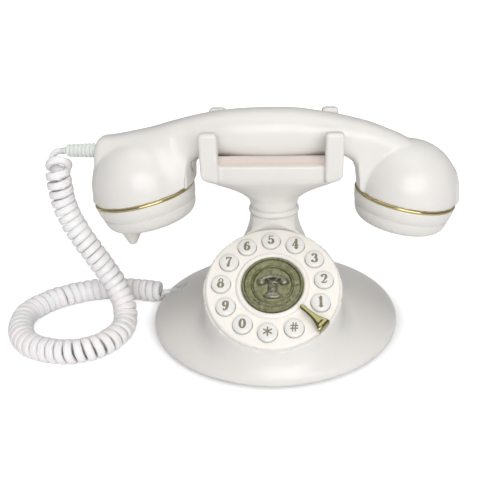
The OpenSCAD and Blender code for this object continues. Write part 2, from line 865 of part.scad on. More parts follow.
module earpiece_ring() {
    color(gold) ear_frame() gold_ring();
}

module mouthpiece_ring() {
    color(gold) mouth_frame() gold_ring();
}

module receiver_capsule() {
    color(steel) ear_frame() {
        translate([0, 0, 5.6 - cap_h]) cylinder(r = 19, h = cap_h - 7.6, $fn = 72);
        translate([0, 0, -2.5]) cylinder(r = 12, h = 7, $fn = 48);
    }
}

module receiver_gasket() {
    color(soft_grey) ear_frame() translate([0, 0, -cap_h + 2.5]) difference() {
        cylinder(r = 20, h = 3, $fn = 72);
        translate([0, 0, -1]) cylinder(r = 14, h = 9, $fn = 72);
    }
}

module microphone_holder() {
    color(soft_grey) mouth_frame() translate([9, 0, -cap_h + 2.5]) difference() {
        cylinder(r = 7.4, h = 8, $fn = 48);
        translate([0, 0, -1]) cylinder(r = 4.9, h = 20, $fn = 48);
    }
}

module microphone_capsule() {
    color(steel) mouth_frame() translate([9, 0, -cap_h + 3]) cylinder(r = 4.85, h = 6.5, $fn = 48);
}

module handset_weight() {
    color(steel) translate([-28, -5, 121]) cube([56, 10, 11]);
}

module handset_screws() {
    color(steel) hand_screw_spots(tab_z) {
        cylinder(r = 1.25, h = 11, $fn = 24);
        translate([0, 0, -1.6]) cylinder(r = 2.8, h = 1.6, $fn = 24);
    }
}

// ---------- Cord ----------

// Ribbed sleeve that tapers towards the cord
module cord_strain_relief() {
    color(key_white) translate([relief_end, 0, relief_z]) rotate([0, 90, 0])
        rotate_extrude($fn = 48) polygon(concat(
            [[0, 0]],
            [for (i = [0:6]) each [
                [3.9 + 0.1 * i, 2.5 * i], [4.3 + 0.1 * i, 2.5 * i + 0.5],
                [4.3 + 0.1 * i, 2.5 * i + 1.5], [3.9 + 0.1 * i, 2.5 * i + 2]
            ]],
            [[4.4, 19], [0, 19]]
        ));
}

module curly_cord() {
    color(key_white) tube_along(smooth_route(curl_route, 2), curl_d / 2, 10,
        [-1, 0, 0], cord_end_dir);
}

module cord_tail() {
    color(key_white) tube_along(smooth_route(tail_route, 2), wire_d / 2, 8,
        cord_end_dir, cord_end_dir);
}

module cord_plug() {
    color([0.9, 0.92, 0.94]) jack_frame(-1) {
        translate([-3.8, jack_face_y - 11.5, plate_top + 1.8]) cube([7.6, 22, 6.6]);
        translate([-3, jack_face_y + 10.5, plate_top + 2.6]) cube([6, 6.5, 5.2]);
        translate([-1.5, jack_face_y - 6, plate_top + 8.3]) cube([3, 15, 1.1]);
    }
}

// ---------- Parts drawn by name ----------

base_shell();
base_plate();
rubber_feet();
base_screws();
ballast_weight();
main_circuit_board();
ringer();
ringer_switch();
ringer_slider();
line_jack();
handset_jack();
neck_column();
neck_collar();
neck_tube();
tube_nuts();
cradle_front();
cradle_rear();
saddle_plate();
cradle_screws();
hook_plungers();
hook_spring();
hook_switch();
dial_housing();
dial_plate();
medallion_ring();
medallion();
finger_stop();
keypad_mat();
keypad_board();
keypad_ribbon();
dial_screws();
key(0);  // button_1
key(1);  // button_2
key(2);  // button_3
key(3);  // button_4
key(4);  // button_5
key(5);  // button_6
key(6);  // button_7
key(7);  // button_8
key(8);  // button_9
key(9);  // button_0
key(10);  // button_star
key(11);  // button_hash
handset_upper_shell();
handset_lower_shell();
earpiece_cap();
mouthpiece_cap();
earpiece_ring();
mouthpiece_ring();
receiver_capsule();
receiver_gasket();
microphone_capsule();
microphone_holder();
handset_weight();
handset_screws();
cord_strain_relief();
curly_cord();
cord_tail();
cord_plug();
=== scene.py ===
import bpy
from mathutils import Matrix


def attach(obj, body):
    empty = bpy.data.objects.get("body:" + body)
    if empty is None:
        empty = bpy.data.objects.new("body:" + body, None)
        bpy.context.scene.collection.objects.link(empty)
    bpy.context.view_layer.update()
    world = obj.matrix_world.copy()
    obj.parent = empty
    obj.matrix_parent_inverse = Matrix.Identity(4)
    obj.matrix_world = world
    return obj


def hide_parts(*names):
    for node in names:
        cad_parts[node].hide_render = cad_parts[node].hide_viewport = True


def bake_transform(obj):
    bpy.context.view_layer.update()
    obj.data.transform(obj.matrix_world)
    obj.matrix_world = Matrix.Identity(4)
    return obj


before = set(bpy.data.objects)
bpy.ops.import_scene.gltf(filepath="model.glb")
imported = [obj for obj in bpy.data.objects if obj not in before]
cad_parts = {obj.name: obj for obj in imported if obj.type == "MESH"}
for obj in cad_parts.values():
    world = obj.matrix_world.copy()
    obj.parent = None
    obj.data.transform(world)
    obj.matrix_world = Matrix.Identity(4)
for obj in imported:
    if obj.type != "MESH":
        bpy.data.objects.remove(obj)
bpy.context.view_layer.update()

import math

import bmesh
import bpy
import numpy as np
from mathutils import Matrix, Vector

# Shapes are worked out in millimetres and scaled once, when a mesh is made.
MM = 0.001

# ---------- Sizes shared with the CAD model, in millimetres and degrees ----------

FEET_H = 1.5
PLATE_R = 78.7
COLLAR_Z = 76.5
COLLAR_H = 4.2
BASE_Y = -3
JACK_TURNS = (77, -20)

DIAL_CENTRE = (0, -47, 47.2)
DIAL_TILT = 33.5
DIAL_R = 40.3
DIAL_DEPTH = 3
KEY_RING_R = 30.8
KEY_R = 5.75
FIRST_KEY = -22.8
KEY_PITCH = 28.85
STOP_ANGLE = -43
KEYS = ["1", "2", "3", "4", "5", "6", "7", "8", "9", "0", "star", "hash"]

MOUTH = (-82.3, 0, 91.1)
MOUTH_TILT = -11.2
EAR = (83.3, 0, 88.3)
EAR_TILT = 9.9
DOME_R = 31.2
RING_R = 32.3
RING_H = 2
CAP_H = 19.4
DOME_LIFT = 3.4

RELIEF_END = (-127.2, 0, 117.3)
CURL_D = 15.4
WIRE_D = 4.2
SHEATH_RIBS = 11
CURL_ROUTE = [
    (-127.2, 0, 117.3), (-131, -1, 114.6), (-133.8, -2, 109), (-135, -3, 99), (-134, -4, 84),
    (-129, -5, 68), (-119, -7, 50), (-109, -9, 33), (-102.5, -13, 20), (-99, -21, 11),
    (-98.5, -31, 7.9), (-101, -42, 7.8), (-108.5, -52.5, 7.8), (-122, -58.5, 7.8),
    (-138, -57, 7.8), (-153, -50, 7.8), (-164.5, -34, 7.8), (-168.5, -14, 7.8),
    (-160, 3, 7.8), (-150, 11, 7.8), (-138, 18, 7.8), (-124, 21.3, 7.8), (-112, 21.5, 7.8),
    (-100, 19.9, 7.8), (-90, 17.75, 7.8), (-81.85, 15.9, 7.8),
]
TAIL_ROUTE = [
    (-81.85, 15.9, 7.8), (-80.14, 15.5, 7.94), (-78.44, 15.11, 8.25), (-76.73, 14.71, 8.56),
    (-75.03, 14.32, 8.7),
]


# ---------- Camera ----------

def make_camera():
    """The camera stands in front of the telephone, a little right of its middle, and looks down."""
    place = Matrix.Translation(Vector((13.2, -363.8, 218.3)) * MM)
    turn, down, roll = math.radians(1.35), math.radians(24.88), math.radians(-0.76)
    camera = bpy.data.objects.new("camera", bpy.data.cameras.new("camera"))
    bpy.context.scene.collection.objects.link(camera)
    camera.matrix_world = (place @ Matrix.Rotation(turn, 4, "Z")
                           @ Matrix.Rotation(math.pi / 2 - down, 4, "X") @ Matrix.Rotation(roll, 4, "Z"))
    camera.data.lens = 45.25
    camera.data.sensor_width = 36
    camera.data.shift_x = -0.0869
    camera.data.shift_y = 0.0177
    camera.data.clip_start = 0.01
    camera.data.clip_end = 20
    bpy.context.scene.camera = camera


make_camera()


# ---------- Curves and profiles ----------

def smooth_line(points, steps):
    """Catmull-Rom curve through the points, as in the CAD model."""
    p = np.array(points, float)
    p = np.vstack([p[:1], p, p[-1:]])
    out = []
    for i in range(1, len(p) - 2):
        for k in range(steps):
            t = k / steps
            out.append(0.5 * (
                2 * p[i] + (p[i + 1] - p[i - 1]) * t
                + (2 * p[i - 1] - 5 * p[i] + 4 * p[i + 1] - p[i + 2]) * t ** 2
                + (3 * p[i] - p[i - 1] - 3 * p[i + 1] + p[i + 2]) * t ** 3
            ))
    out.append(p[-2])
    return np.array(out)


def even_line(points, spacing):
    """The same line with points at even distances."""
    length = np.concatenate([[0], np.cumsum(np.linalg.norm(np.diff(points, axis=0), axis=1))])
    count = max(2, int(round(length[-1] / spacing)) + 1)
    wanted = np.linspace(0, length[-1], count)
    return np.column_stack([np.interp(wanted, length, points[:, k]) for k in range(3)])


def bezier(a, b, c, d, n):
    t = np.linspace(0, 1, n + 1)[:, None]
    a, b, c, d = (np.array(p, float) for p in (a, b, c, d))
    return (1 - t) ** 3 * a + 3 * (1 - t) ** 2 * t * b + 3 * (1 - t) * t ** 2 * c + t ** 3 * d


def through(knots, values):
    """A function of one variable that runs smoothly and without overshoot through the knots."""
    x, y = np.array(knots, float), np.array(values, float)
    h, slope = np.diff(x), np.diff(y) / np.diff(x)
    m = np.zeros(len(x))
    m[0], m[-1] = slope[0], slope[-1]
    for i in range(1, len(x) - 1):
        if slope[i - 1] * slope[i] > 0:
            w1, w2 = 2 * h[i] + h[i - 1], h[i] + 2 * h[i - 1]
            m[i] = (w1 + w2) / (w1 / slope[i - 1] + w2 / slope[i])

    def value(at):
        at = np.clip(at, x[0], x[-1])
        i = np.clip(np.searchsorted(x, at) - 1, 0, len(x) - 2)
        t = (at - x[i]) / h[i]
        return ((1 + 2 * t) * (1 - t) ** 2 * y[i] + t * (1 - t) ** 2 * h[i] * m[i]
                + t * t * (3 - 2 * t) * y[i + 1] + t * t * (t - 1) * h[i] * m[i + 1])

    return value


def carried_frames(line, first):
    """Tangents and a normal carried along a line without twist."""
    tangent = np.gradient(line, axis=0)
    tangent /= np.linalg.norm(tangent, axis=1)[:, None]
    normal, out = np.array(first, float), []
    for t in tangent:
        normal = normal - t * (normal @ t)
        normal /= np.linalg.norm(normal)
        out.append(normal)
    return tangent, np.array(out)


def fillet(points, radii, n=6):
    """An open outline with its corners rounded: radii has one value for each inner point."""
    out = [np.array(points[0], float)]
    for k in range(1, len(points) - 1):
        p, a, b = (np.array(points[j], float) for j in (k, k - 1, k + 1))
        u, v = (a - p) / np.linalg.norm(a - p), (b - p) / np.linalg.norm(b - p)
        r = radii[k - 1]
        if r <= 0:
            out.append(p)
            continue
        half = math.acos(max(-1, min(1, float(u @ v)))) / 2
        cut = min(r / math.tan(half), 0.49 * np.linalg.norm(a - p), 0.49 * np.linalg.norm(b - p))
        start, end = p + u * cut, p + v * cut
        for i in range(n + 1):
            t = i / n
            out.append((1 - t) ** 2 * start + 2 * t * (1 - t) * p + t * t * end)
    out.append(np.array(points[-1], float))
    return np.array(out)


# ---------- Meshes ----------

def finish_piece(obj, material, body, sharp=40, replaces=()):
    mesh = obj.data
    mesh.materials.clear()
    mesh.materials.append(material)
    mesh.shade_smooth()
    if sharp:
        mesh.set_sharp_from_angle(angle=math.radians(sharp))
    if body:
        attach(obj, body)
    if replaces:
        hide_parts(*replaces)
    return obj


def mesh_object(name, verts, faces):
    mesh = bpy.data.meshes.new(name)
    mesh.from_pydata((np.asarray(verts, float) * MM).tolist(), [], [list(map(int, f)) for f in faces])
    mesh.validate()
    mesh.update()
    obj = bpy.data.objects.new(name, mesh)
    bpy.context.scene.collection.objects.link(obj)
    return obj


def placed(verts, place):
    """Moves points in millimetres by a 4 x 4 matrix whose offset is in millimetres."""
    m = np.array(place)
    return np.asarray(verts) @ m[:3, :3].T + m[:3, 3]


def frame_at(centre, tilt, axis):
    return Matrix.Translation(centre) @ Matrix.Rotation(math.radians(tilt), 4, axis)


DIAL = frame_at(DIAL_CENTRE, DIAL_TILT, "X")
MOUTH_FRAME = frame_at(MOUTH, MOUTH_TILT, "Y")
EAR_FRAME = frame_at(EAR, EAR_TILT, "Y")


def lathe_data(profile, segments):
    """Points and faces of a profile of (radius, height) turned about Z. The profile runs with the
    solid on its left, so from the bottom outwards and up."""
    verts, rows = [], []
    for r, z in profile:
        if r < 1e-6:
            rows.append([len(verts)] * segments)
            verts.append((0, 0, z))
        else:
            rows.append(list(range(len(verts), len(verts) + segments)))
            verts += [(r * math.cos(a), r * math.sin(a), z)
                      for a in np.linspace(0, 2 * math.pi, segments, endpoint=False)]
    faces = []
    for low, high in zip(rows, rows[1:]):
        for j in range(segments):
            k = (j + 1) % segments
            corner = [low[j], low[k], high[k], high[j]]
            face = [c for i, c in enumerate(corner) if c != corner[i - 1]]
            if len(face) > 2:
                faces.append(face)
    return np.array(verts, float), faces


def lathe(name, profile, place, segments=128):
    verts, faces = lathe_data(profile, segments)
    return mesh_object(name, placed(verts, place), faces)


def lathe_ring(name, profile, place, segments):
    """A turned ring: the profile's last point joins its first."""
    verts, faces = lathe_data(profile, segments)
    last = (len(profile) - 1) * segments
    for j in range(segments):
        k = (j + 1) % segments
        faces.append([last + j, last + k, k, j])
    return mesh_object(name, placed(verts, place), faces)


def circle_points(count, radius, start=0.0):
    """Points at even angles on a circle, the first at the start angle in degrees."""
    return [(radius * math.cos(a), radius * math.sin(a))
            for a in np.radians(start + np.arange(count) * 360 / count)]


def skin_faces(n, sides):
    """Faces of a closed skin over n rings of points."""
    faces = [[i * sides + j, i * sides + (j + 1) % sides,
              (i + 1) * sides + (j + 1) % sides, (i + 1) * sides + j]
             for i in range(n - 1) for j in range(sides)]
    return faces + [list(range(sides))[::-1], [(n - 1) * sides + j for j in range(sides)]]


def tube_data(path, half_a, half_b, sides, first_normal):
    """A tube of oval section along a path. half_a lies along the first normal as it is carried along."""
    tangent, normal = carried_frames(path, first_normal)
    side = np.cross(tangent, normal)
    angle = np.linspace(0, 2 * math.pi, sides, endpoint=False)
    rings = (path[:, None, :] + half_a * np.cos(angle)[None, :, None] * normal[:, None, :]
             + half_b * np.sin(angle)[None, :, None] * side[:, None, :])
    return rings.reshape(-1, 3), skin_faces(len(path), sides)


def rings_object(name, rings):
    """A closed skin through rings of points, with a UV map of (around, along)."""
    n, sides = rings.shape[:2]
    obj = mesh_object(name, rings.reshape(-1, 3), skin_faces(n, sides))
    uv = obj.data.uv_layers.new(name="around_along")
    step = np.linalg.norm(np.diff(rings.mean(axis=1), axis=0), axis=1)
    along = np.concatenate([[0], np.cumsum(step)])
    for poly in obj.data.polygons:
        for loop in poly.loop_indices:
            i, j = divmod(obj.data.loops[loop].vertex_index, sides)
            seam = j == 0 and poly.index < (n - 1) * sides and poly.index % sides == sides - 1
            uv.data[loop].uv = (1.0 if seam else j / sides, along[i] * MM)
    return obj


def join(name, parts):
    """Joins several sets of points and faces into one mesh."""
    verts, faces, start = [], [], 0
    for v, f in parts:
        verts.append(np.asarray(v, float))
        faces += [[int(i) + start for i in face] for face in f]
        start += len(v)
    return mesh_object(name, np.vstack(verts), faces)


def rounded_box_data(lo, hi, r, n=3):
    """A box with rounded edges."""
    bm = bmesh.new()
    bmesh.ops.create_cube(bm, size=1)
    lo, hi = np.array(lo, float), np.array(hi, float)
    for v in bm.verts:
        v.co = Vector((lo + (np.array(v.co) + 0.5) * (hi - lo)).tolist())
    bmesh.ops.bevel(bm, geom=list(bm.edges), offset=r, segments=n, profile=0.5, affect="EDGES")
    bmesh.ops.recalc_face_normals(bm, faces=bm.faces)
    verts = np.array([v.co[:] for v in bm.verts])
    faces = [[v.index for v in f.verts] for f in bm.faces]
    bm.free()
    return verts, faces


def cut(obj, cutters):
    """Takes the cutters away from the object for good."""
    for cutter in cutters:
        mod = obj.modifiers.new("cut", "BOOLEAN")
        mod.operation = "DIFFERENCE"
        mod.solver = "EXACT"
        mod.object = cutter
        dg = bpy.context.evaluated_depsgraph_get()
        mesh = bpy.data.meshes.new_from_object(obj.evaluated_get(dg))
        obj.modifiers.clear()
        old = obj.data
        obj.data = mesh
        bpy.data.meshes.remove(old)
    for cutter in cutters:
        bpy.data.objects.remove(cutter)


# ---------- Smooth solids from distance fields ----------

def soft_min(a, b, k):
    h = np.maximum(k - np.abs(a - b), 0) / k
    return np.minimum(a, b) - h * h * k / 4


def soft_max(a, b, k):
    return -soft_min(-a, -b, k)


def field_surface(name, field, lo, hi, step, rounds=4):
    """The surface where a field is zero, as a mesh of near-square faces.
    The field takes arrays x, y, z and is negative inside the solid."""
    axes = [np.arange(a - 1.5 * step, b + 2.5 * step, step) for a, b in zip(lo, hi)]
    shape = tuple(len(a) for a in axes)
    value = np.empty(shape)
    for k, z in enumerate(axes[2]):
        x, y = np.meshgrid(axes[0], axes[1], indexing="ij")
        value[:, :, k] = field(x, y, np.full_like(x, z))
    inside = value < 0

    # One vertex in each cell that the surface crosses, at the mean of the crossings of its edges
    cells = tuple(s - 1 for s in shape)
    total = np.zeros(cells + (3,))
    count = np.zeros(cells)
    offsets = [(0, 0), (0, 1), (1, 0), (1, 1)]
    for axis in range(3):
        others = [a for a in range(3) if a != axis]
        for da, db in offsets:
            start = [slice(0, cells[k]) for k in range(3)]
            start[others[0]] = slice(da, da + cells[others[0]])
            start[others[1]] = slice(db, db + cells[others[1]])
            end = list(start)
            end[axis] = slice(1, 1 + cells[axis])
            f0, f1 = value[tuple(start)], value[tuple(end)]
            hit = (f0 < 0) != (f1 < 0)
            t = np.where(hit, f0 / np.where(hit, f0 - f1, 1), 0)
            count += hit
            total[..., axis] += t * hit
            total[..., others[0]] += da * hit
            total[..., others[1]] += db * hit
    active = count > 0
    index = np.full(cells, -1)
    index[active] = np.arange(active.sum())
    corner = np.argwhere(active)
    points = corner + total[active] / count[active][:, None]
    points = np.column_stack([axes[k][0] + points[:, k] * step for k in range(3)])

    quads = []
    for axis in range(3):
        b, c = [(1, 2), (2, 0), (0, 1)][axis]
        here = [slice(1, cells[k]) for k in range(3)]
        here[axis] = slice(0, cells[axis])
        there = list(here)
        there[axis] = slice(1, 1 + cells[axis])
        first, second = inside[tuple(here)], inside[tuple(there)]
        for sign in (True, False):
            hit = np.argwhere((first != second) & (first == sign))
            hit[:, b] += 1
            hit[:, c] += 1
            unit_b, unit_c = np.eye(3, dtype=int)[b], np.eye(3, dtype=int)[c]
            ring = [hit - unit_b - unit_c, hit - unit_c, hit, hit - unit_b]
            quad = np.stack([index[tuple(r.T)] for r in ring], axis=1)
            quads.append(quad if sign else quad[:, ::-1])
    quads = np.vstack(quads)
    quads = quads[(quads >= 0).all(axis=1)]

    # Even out the faces, then bring every vertex onto the surface
    edges = np.vstack([quads[:, [0, 1]], quads[:, [1, 2]], quads[:, [2, 3]], quads[:, [3, 0]]])
    edges = np.vstack([edges, edges[:, ::-1]])
    degree = np.bincount(edges[:, 0], minlength=len(points))[:, None]
    for _ in range(rounds):
        mean = np.column_stack([
            np.bincount(edges[:, 0], weights=points[edges[:, 1], k], minlength=len(points))
            for k in range(3)]) / degree
        points = points + 0.5 * (mean - points)
        for _ in range(2):
            points = points - onto(field, points, step)
    for _ in range(4):
        points = points - onto(field, points, step)
    return mesh_object(name, points, quads)


def onto(field, p, limit):
    """The step from each point to the zero of the field, along its gradient."""
    e = 0.02
    f = field(p[:, 0], p[:, 1], p[:, 2])
    g = np.column_stack([
        field(p[:, 0] + e, p[:, 1], p[:, 2]) - field(p[:, 0] - e, p[:, 1], p[:, 2]),
        field(p[:, 0], p[:, 1] + e, p[:, 2]) - field(p[:, 0], p[:, 1] - e, p[:, 2]),
        field(p[:, 0], p[:, 1], p[:, 2] + e) - field(p[:, 0], p[:, 1], p[:, 2] - e),
    ]) / (2 * e)
    move = g * (f / np.maximum((g ** 2).sum(axis=1), 1e-6))[:, None]
    size = np.linalg.norm(move, axis=1)[:, None]
    return move * np.minimum(1, 0.7 * limit / np.maximum(size, 1e-9))


def local_points(place, x, y, z):
    """Coordinates in a tilted frame."""
    m = np.array(place.inverted())
    return tuple(m[k, 0] * x + m[k, 1] * y + m[k, 2] * z + m[k, 3] for k in range(3))


# ---------- Materials ----------

def new_material(name, color, roughness, metallic=0.0, coat=0.0, specular=0.5):
    mat = bpy.data.materials.new(name)
    mat.use_nodes = True
    shader = mat.node_tree.nodes["Principled BSDF"]
    shader.inputs["Base Color"].default_value = (*color, 1)
    shader.inputs["Roughness"].default_value = roughness
    shader.inputs["Metallic"].default_value = metallic
    shader.inputs["Coat Weight"].default_value = coat
    shader.inputs["Coat Roughness"].default_value = 0.06
    shader.inputs["Specular IOR Level"].default_value = specular
    return mat, mat.node_tree, shader


def noise_on(tree, scale, detail, rough=0.5):
    where = tree.nodes.new("ShaderNodeTexCoord")
    noise = tree.nodes.new("ShaderNodeTexNoise")
    noise.inputs["Scale"].default_value = scale
    noise.inputs["Detail"].default_value = detail
    noise.inputs["Roughness"].default_value = rough
    tree.links.new(where.outputs["Object"], noise.inputs["Vector"])
    return noise.outputs["Fac"]


def color_between(tree, socket, stops):
    ramp = tree.nodes.new("ShaderNodeValToRGB")
    while len(ramp.color_ramp.elements) < len(stops):
        ramp.color_ramp.elements.new(0.5)
    for element, (at, color) in zip(ramp.color_ramp.elements, stops):
        element.position = at
        element.color = (*color, 1)
    tree.links.new(socket, ramp.inputs["Fac"])
    return ramp.outputs["Color"]


def map_range(tree, socket, low, high, to_low, to_high, smooth=False):
    node = tree.nodes.new("ShaderNodeMapRange")
    if smooth:
        node.interpolation_type = "SMOOTHSTEP"
    for name, value in (("From Min", low), ("From Max", high), ("To Min", to_low), ("To Max", to_high)):
        node.inputs[name].default_value = value
    tree.links.new(socket, node.inputs["Value"])
    return node.outputs["Result"]


def math_node(tree, operation, *values):
    """A sum on one or two values, each a socket or a number."""
    node = tree.nodes.new("ShaderNodeMath")
    node.operation = operation
    for place, value in zip(node.inputs, values):
        if isinstance(value, (int, float)):
            place.default_value = value
        else:
            tree.links.new(value, place)
    return node.outputs["Value"]


def bump_from(tree, shader, socket, strength, distance, under=None):
    bump = tree.nodes.new("ShaderNodeBump")
    bump.inputs["Strength"].default_value = strength
    bump.inputs["Distance"].default_value = distance
    tree.links.new(socket, bump.inputs["Height"])
    if under is not None:
        tree.links.new(under, bump.inputs["Normal"])
    tree.links.new(bump.outputs["Normal"], shader.inputs["Normal"])
    return bump.outputs["Normal"]


def surface(name, color, roughness, tones, polish, bumps, metallic=0.0, coat=0.0):
    """A material whose colour, polish and relief follow noises, each given as (scale, detail) or
    (scale, detail, roughness): tones is (noise, stops), polish is (noise, low, high) as shares of
    the roughness, and each bump is (noise, strength, distance)."""
    mat, tree, shader = new_material(name, color, roughness, metallic, coat)
    tree.links.new(color_between(tree, noise_on(tree, *tones[0]), tones[1]), shader.inputs["Base Color"])
    if polish:
        noise, low, high = polish
        rough = map_range(tree, noise_on(tree, *noise), 0.3, 0.7, roughness * low, roughness * high)
        tree.links.new(rough, shader.inputs["Roughness"])
    under = None
    for noise, strength, distance in bumps:
        under = bump_from(tree, shader, noise_on(tree, *noise), strength, distance, under)
    return mat


def two_tones(color, share):
    return [(0.3, tuple(c * share for c in color)), (0.7, color)]


def plastic(name, color, roughness=0.34, coat=0.12):
    """Moulded glossy plastic: faint clouds in the colour, an uneven polish and a slight ripple."""
    return surface(name, color, roughness, ((38, 4), two_tones(color, 0.975)), ((120, 3), 0.85, 1.2),
                   [((60, 1), 0.12, 0.0006), ((1500, 2), 0.05, 0.00008)], coat=coat)


def gold_metal(name, color, roughness):
    """Gold plating with a faintly smeared polish."""
    return surface(name, color, roughness, ((90, 4), two_tones(color, 0.85)), ((260, 4), 0.6, 1.6),
                   [((260, 4), 0.06, 0.0002)], metallic=1.0)


def grainy(name, color, roughness, metallic=0.0, scale=600, strength=0.25):
    """Plain material with a fine grain in its colour, polish and surface."""
    return surface(name, color, roughness, ((scale, 4), two_tones(color, 0.85)), ((scale, 4), 0.85, 1.15),
                   [((scale, 4), strength, 0.0001)], metallic=metallic)


ivory = plastic("ivory_plastic", (0.79, 0.77, 0.735))
dial_white = plastic("dial_plastic", (0.90, 0.86, 0.80), 0.30, 0.2)
saddle_white = plastic("saddle_plastic", (0.70, 0.61, 0.56))
key_white = plastic("key_plastic", (0.80, 0.785, 0.75), 0.30, 0.2)
relief_white = plastic("relief_plastic", (0.74, 0.77, 0.73), 0.38, 0.1)
gold = gold_metal("gold_plating", (0.60, 0.50, 0.25), 0.10)
# The finger stop's gold is darker than the rings': partly its own olive tone, partly painted dark
# reflections of its polished face
stop_gold_painted_reflection = gold_metal("finger_stop_plating_painted_reflection", (0.36, 0.33, 0.16), 0.07)
# Green and brown patina, smoother where it is pale, and worn silver over it
bronze = surface("old_bronze", (0.25, 0.25, 0.13), 0.38, ((420, 6, 0.65), [
    (0.25, (0.10, 0.095, 0.05)), (0.5, (0.20, 0.20, 0.11)), (0.75, (0.32, 0.32, 0.19))]),
    ((420, 6, 0.65), 1.316, 0.737), [((420, 6, 0.65), 0.35, 0.0002)], metallic=0.75)
silvered = surface("silvered_bronze", (0.4, 0.4, 0.32), 0.42, ((700, 5, 0.6), [
    (0.3, (0.08, 0.07, 0.05)), (0.55, (0.26, 0.25, 0.19)), (0.8, (0.50, 0.48, 0.40))]),
    None, [((700, 5, 0.6), 0.25, 0.00015)], metallic=0.7)
ink = grainy("printed_taupe", (0.25, 0.215, 0.15), 0.5)
steel = grainy("machined_steel", (0.58, 0.58, 0.6), 0.32, 1.0)
iron = grainy("cast_iron", (0.20, 0.20, 0.21), 0.65, 0.8, 350, 0.6)
black = grainy("black_plastic", (0.03, 0.03, 0.032), 0.45)
board = grainy("circuit_board", (0.05, 0.22, 0.10), 0.4)
rubber = grainy("grey_rubber", (0.16, 0.16, 0.17), 0.8, strength=0.4)
clear = grainy("plug_plastic", (0.78, 0.82, 0.84), 0.15)


def cord_sheath():
    """Soft white sheath with fine ribs along the wire and faint pink and lilac tints."""
    mat, tree, shader = new_material("cord_sheath", (0.80, 0.79, 0.79), 0.42, coat=0.08)
    tint = color_between(tree, noise_on(tree, 55, 3), [
        (0.30, (0.95, 0.89, 0.89)), (0.5, (0.93, 0.91, 0.91)), (0.70, (0.91, 0.91, 0.92))])
    tree.links.new(tint, shader.inputs["Base Color"])
    uv = tree.nodes.new("ShaderNodeUVMap")
    uv.uv_map = "around_along"
    split = tree.nodes.new("ShaderNodeSeparateXYZ")
    tree.links.new(uv.outputs["UV"], split.inputs["Vector"])
    around = math_node(tree, "MULTIPLY", split.outputs["X"], 2 * math.pi * SHEATH_RIBS)
    ribs = bump_from(tree, shader, math_node(tree, "SINE", around), 0.45, 0.0002)
    bump_from(tree, shader, noise_on(tree, 1800, 2), 0.15, 0.0001, ribs)
    return mat


sheath = cord_sheath()


# ---------- Cord ----------

FIRST_TURN = [(-133.6, 3.6, 110.3), (-133.9, 0.2, 109.7), (-134.4, -2.6, 107.3), (-134.8, -4, 102.5)]
WIRE_ACROSS = 1.8
WIRE_ALONG = 2.45
WIRE_SIDES = 16
BAND_SQUARENESS = 0.62
LOOSE_PITCH = 5.9
TIGHT_PITCH = 5.15
LOOSE_TURNS = 4
# Spacing of the points on the coil's own axis and along the wire
AXIS_STEP = 0.14
WIRE_STEP = 0.93


def coil_path(axis, tangent, normal):
    """The helix around the axis, a little uneven and never below the table."""
    side = np.cross(tangent, normal)
    travelled = np.arange(len(axis)) * AXIS_STEP
    pitch = np.interp(travelled, [0, LOOSE_TURNS * LOOSE_PITCH, (LOOSE_TURNS + 3) * LOOSE_PITCH],
                      [LOOSE_PITCH, LOOSE_PITCH, TIGHT_PITCH])
    turns = np.cumsum(AXIS_STEP / pitch)
    turns -= turns[0]
    # The coil narrows at its end, where the wire runs out into the straight tail
    left = travelled[-1] - travelled
    radius = (CURL_D / 2 - WIRE_ACROSS) * np.clip(left / 3, 0, 1) ** 0.5
    # Small differences from turn to turn
    radius = radius * (1 + 0.018 * np.sin(turns * 2.4) + 0.012 * np.sin(turns * 5.1 + 1))
    angle = 2 * math.pi * turns
    coil = (axis + (radius * np.cos(angle))[:, None] * normal
            + (radius * np.sin(angle))[:, None] * side)
    coil[:, 2] -= np.minimum(coil[:, 2] - WIRE_ACROSS - 0.05, 0)
    return coil


def outward_from(axis, tangent, path, path_t, coil_end):
    """At each point of the wire, the way from the coil's own axis, square to the wire."""
    outward = np.empty_like(path)
    for i, p in enumerate(path):
        k = np.argmin(((axis - p) ** 2).sum(axis=1))
        v = p - axis[k]
        outward[i] = v - tangent[k] * (v @ tangent[k])
        if i >= coil_end or np.linalg.norm(outward[i]) < 0.5:
            outward[i] = outward[i - 1]
        outward[i] -= path_t[i] * (outward[i] @ path_t[i])
        outward[i] /= np.linalg.norm(outward[i])
    return outward


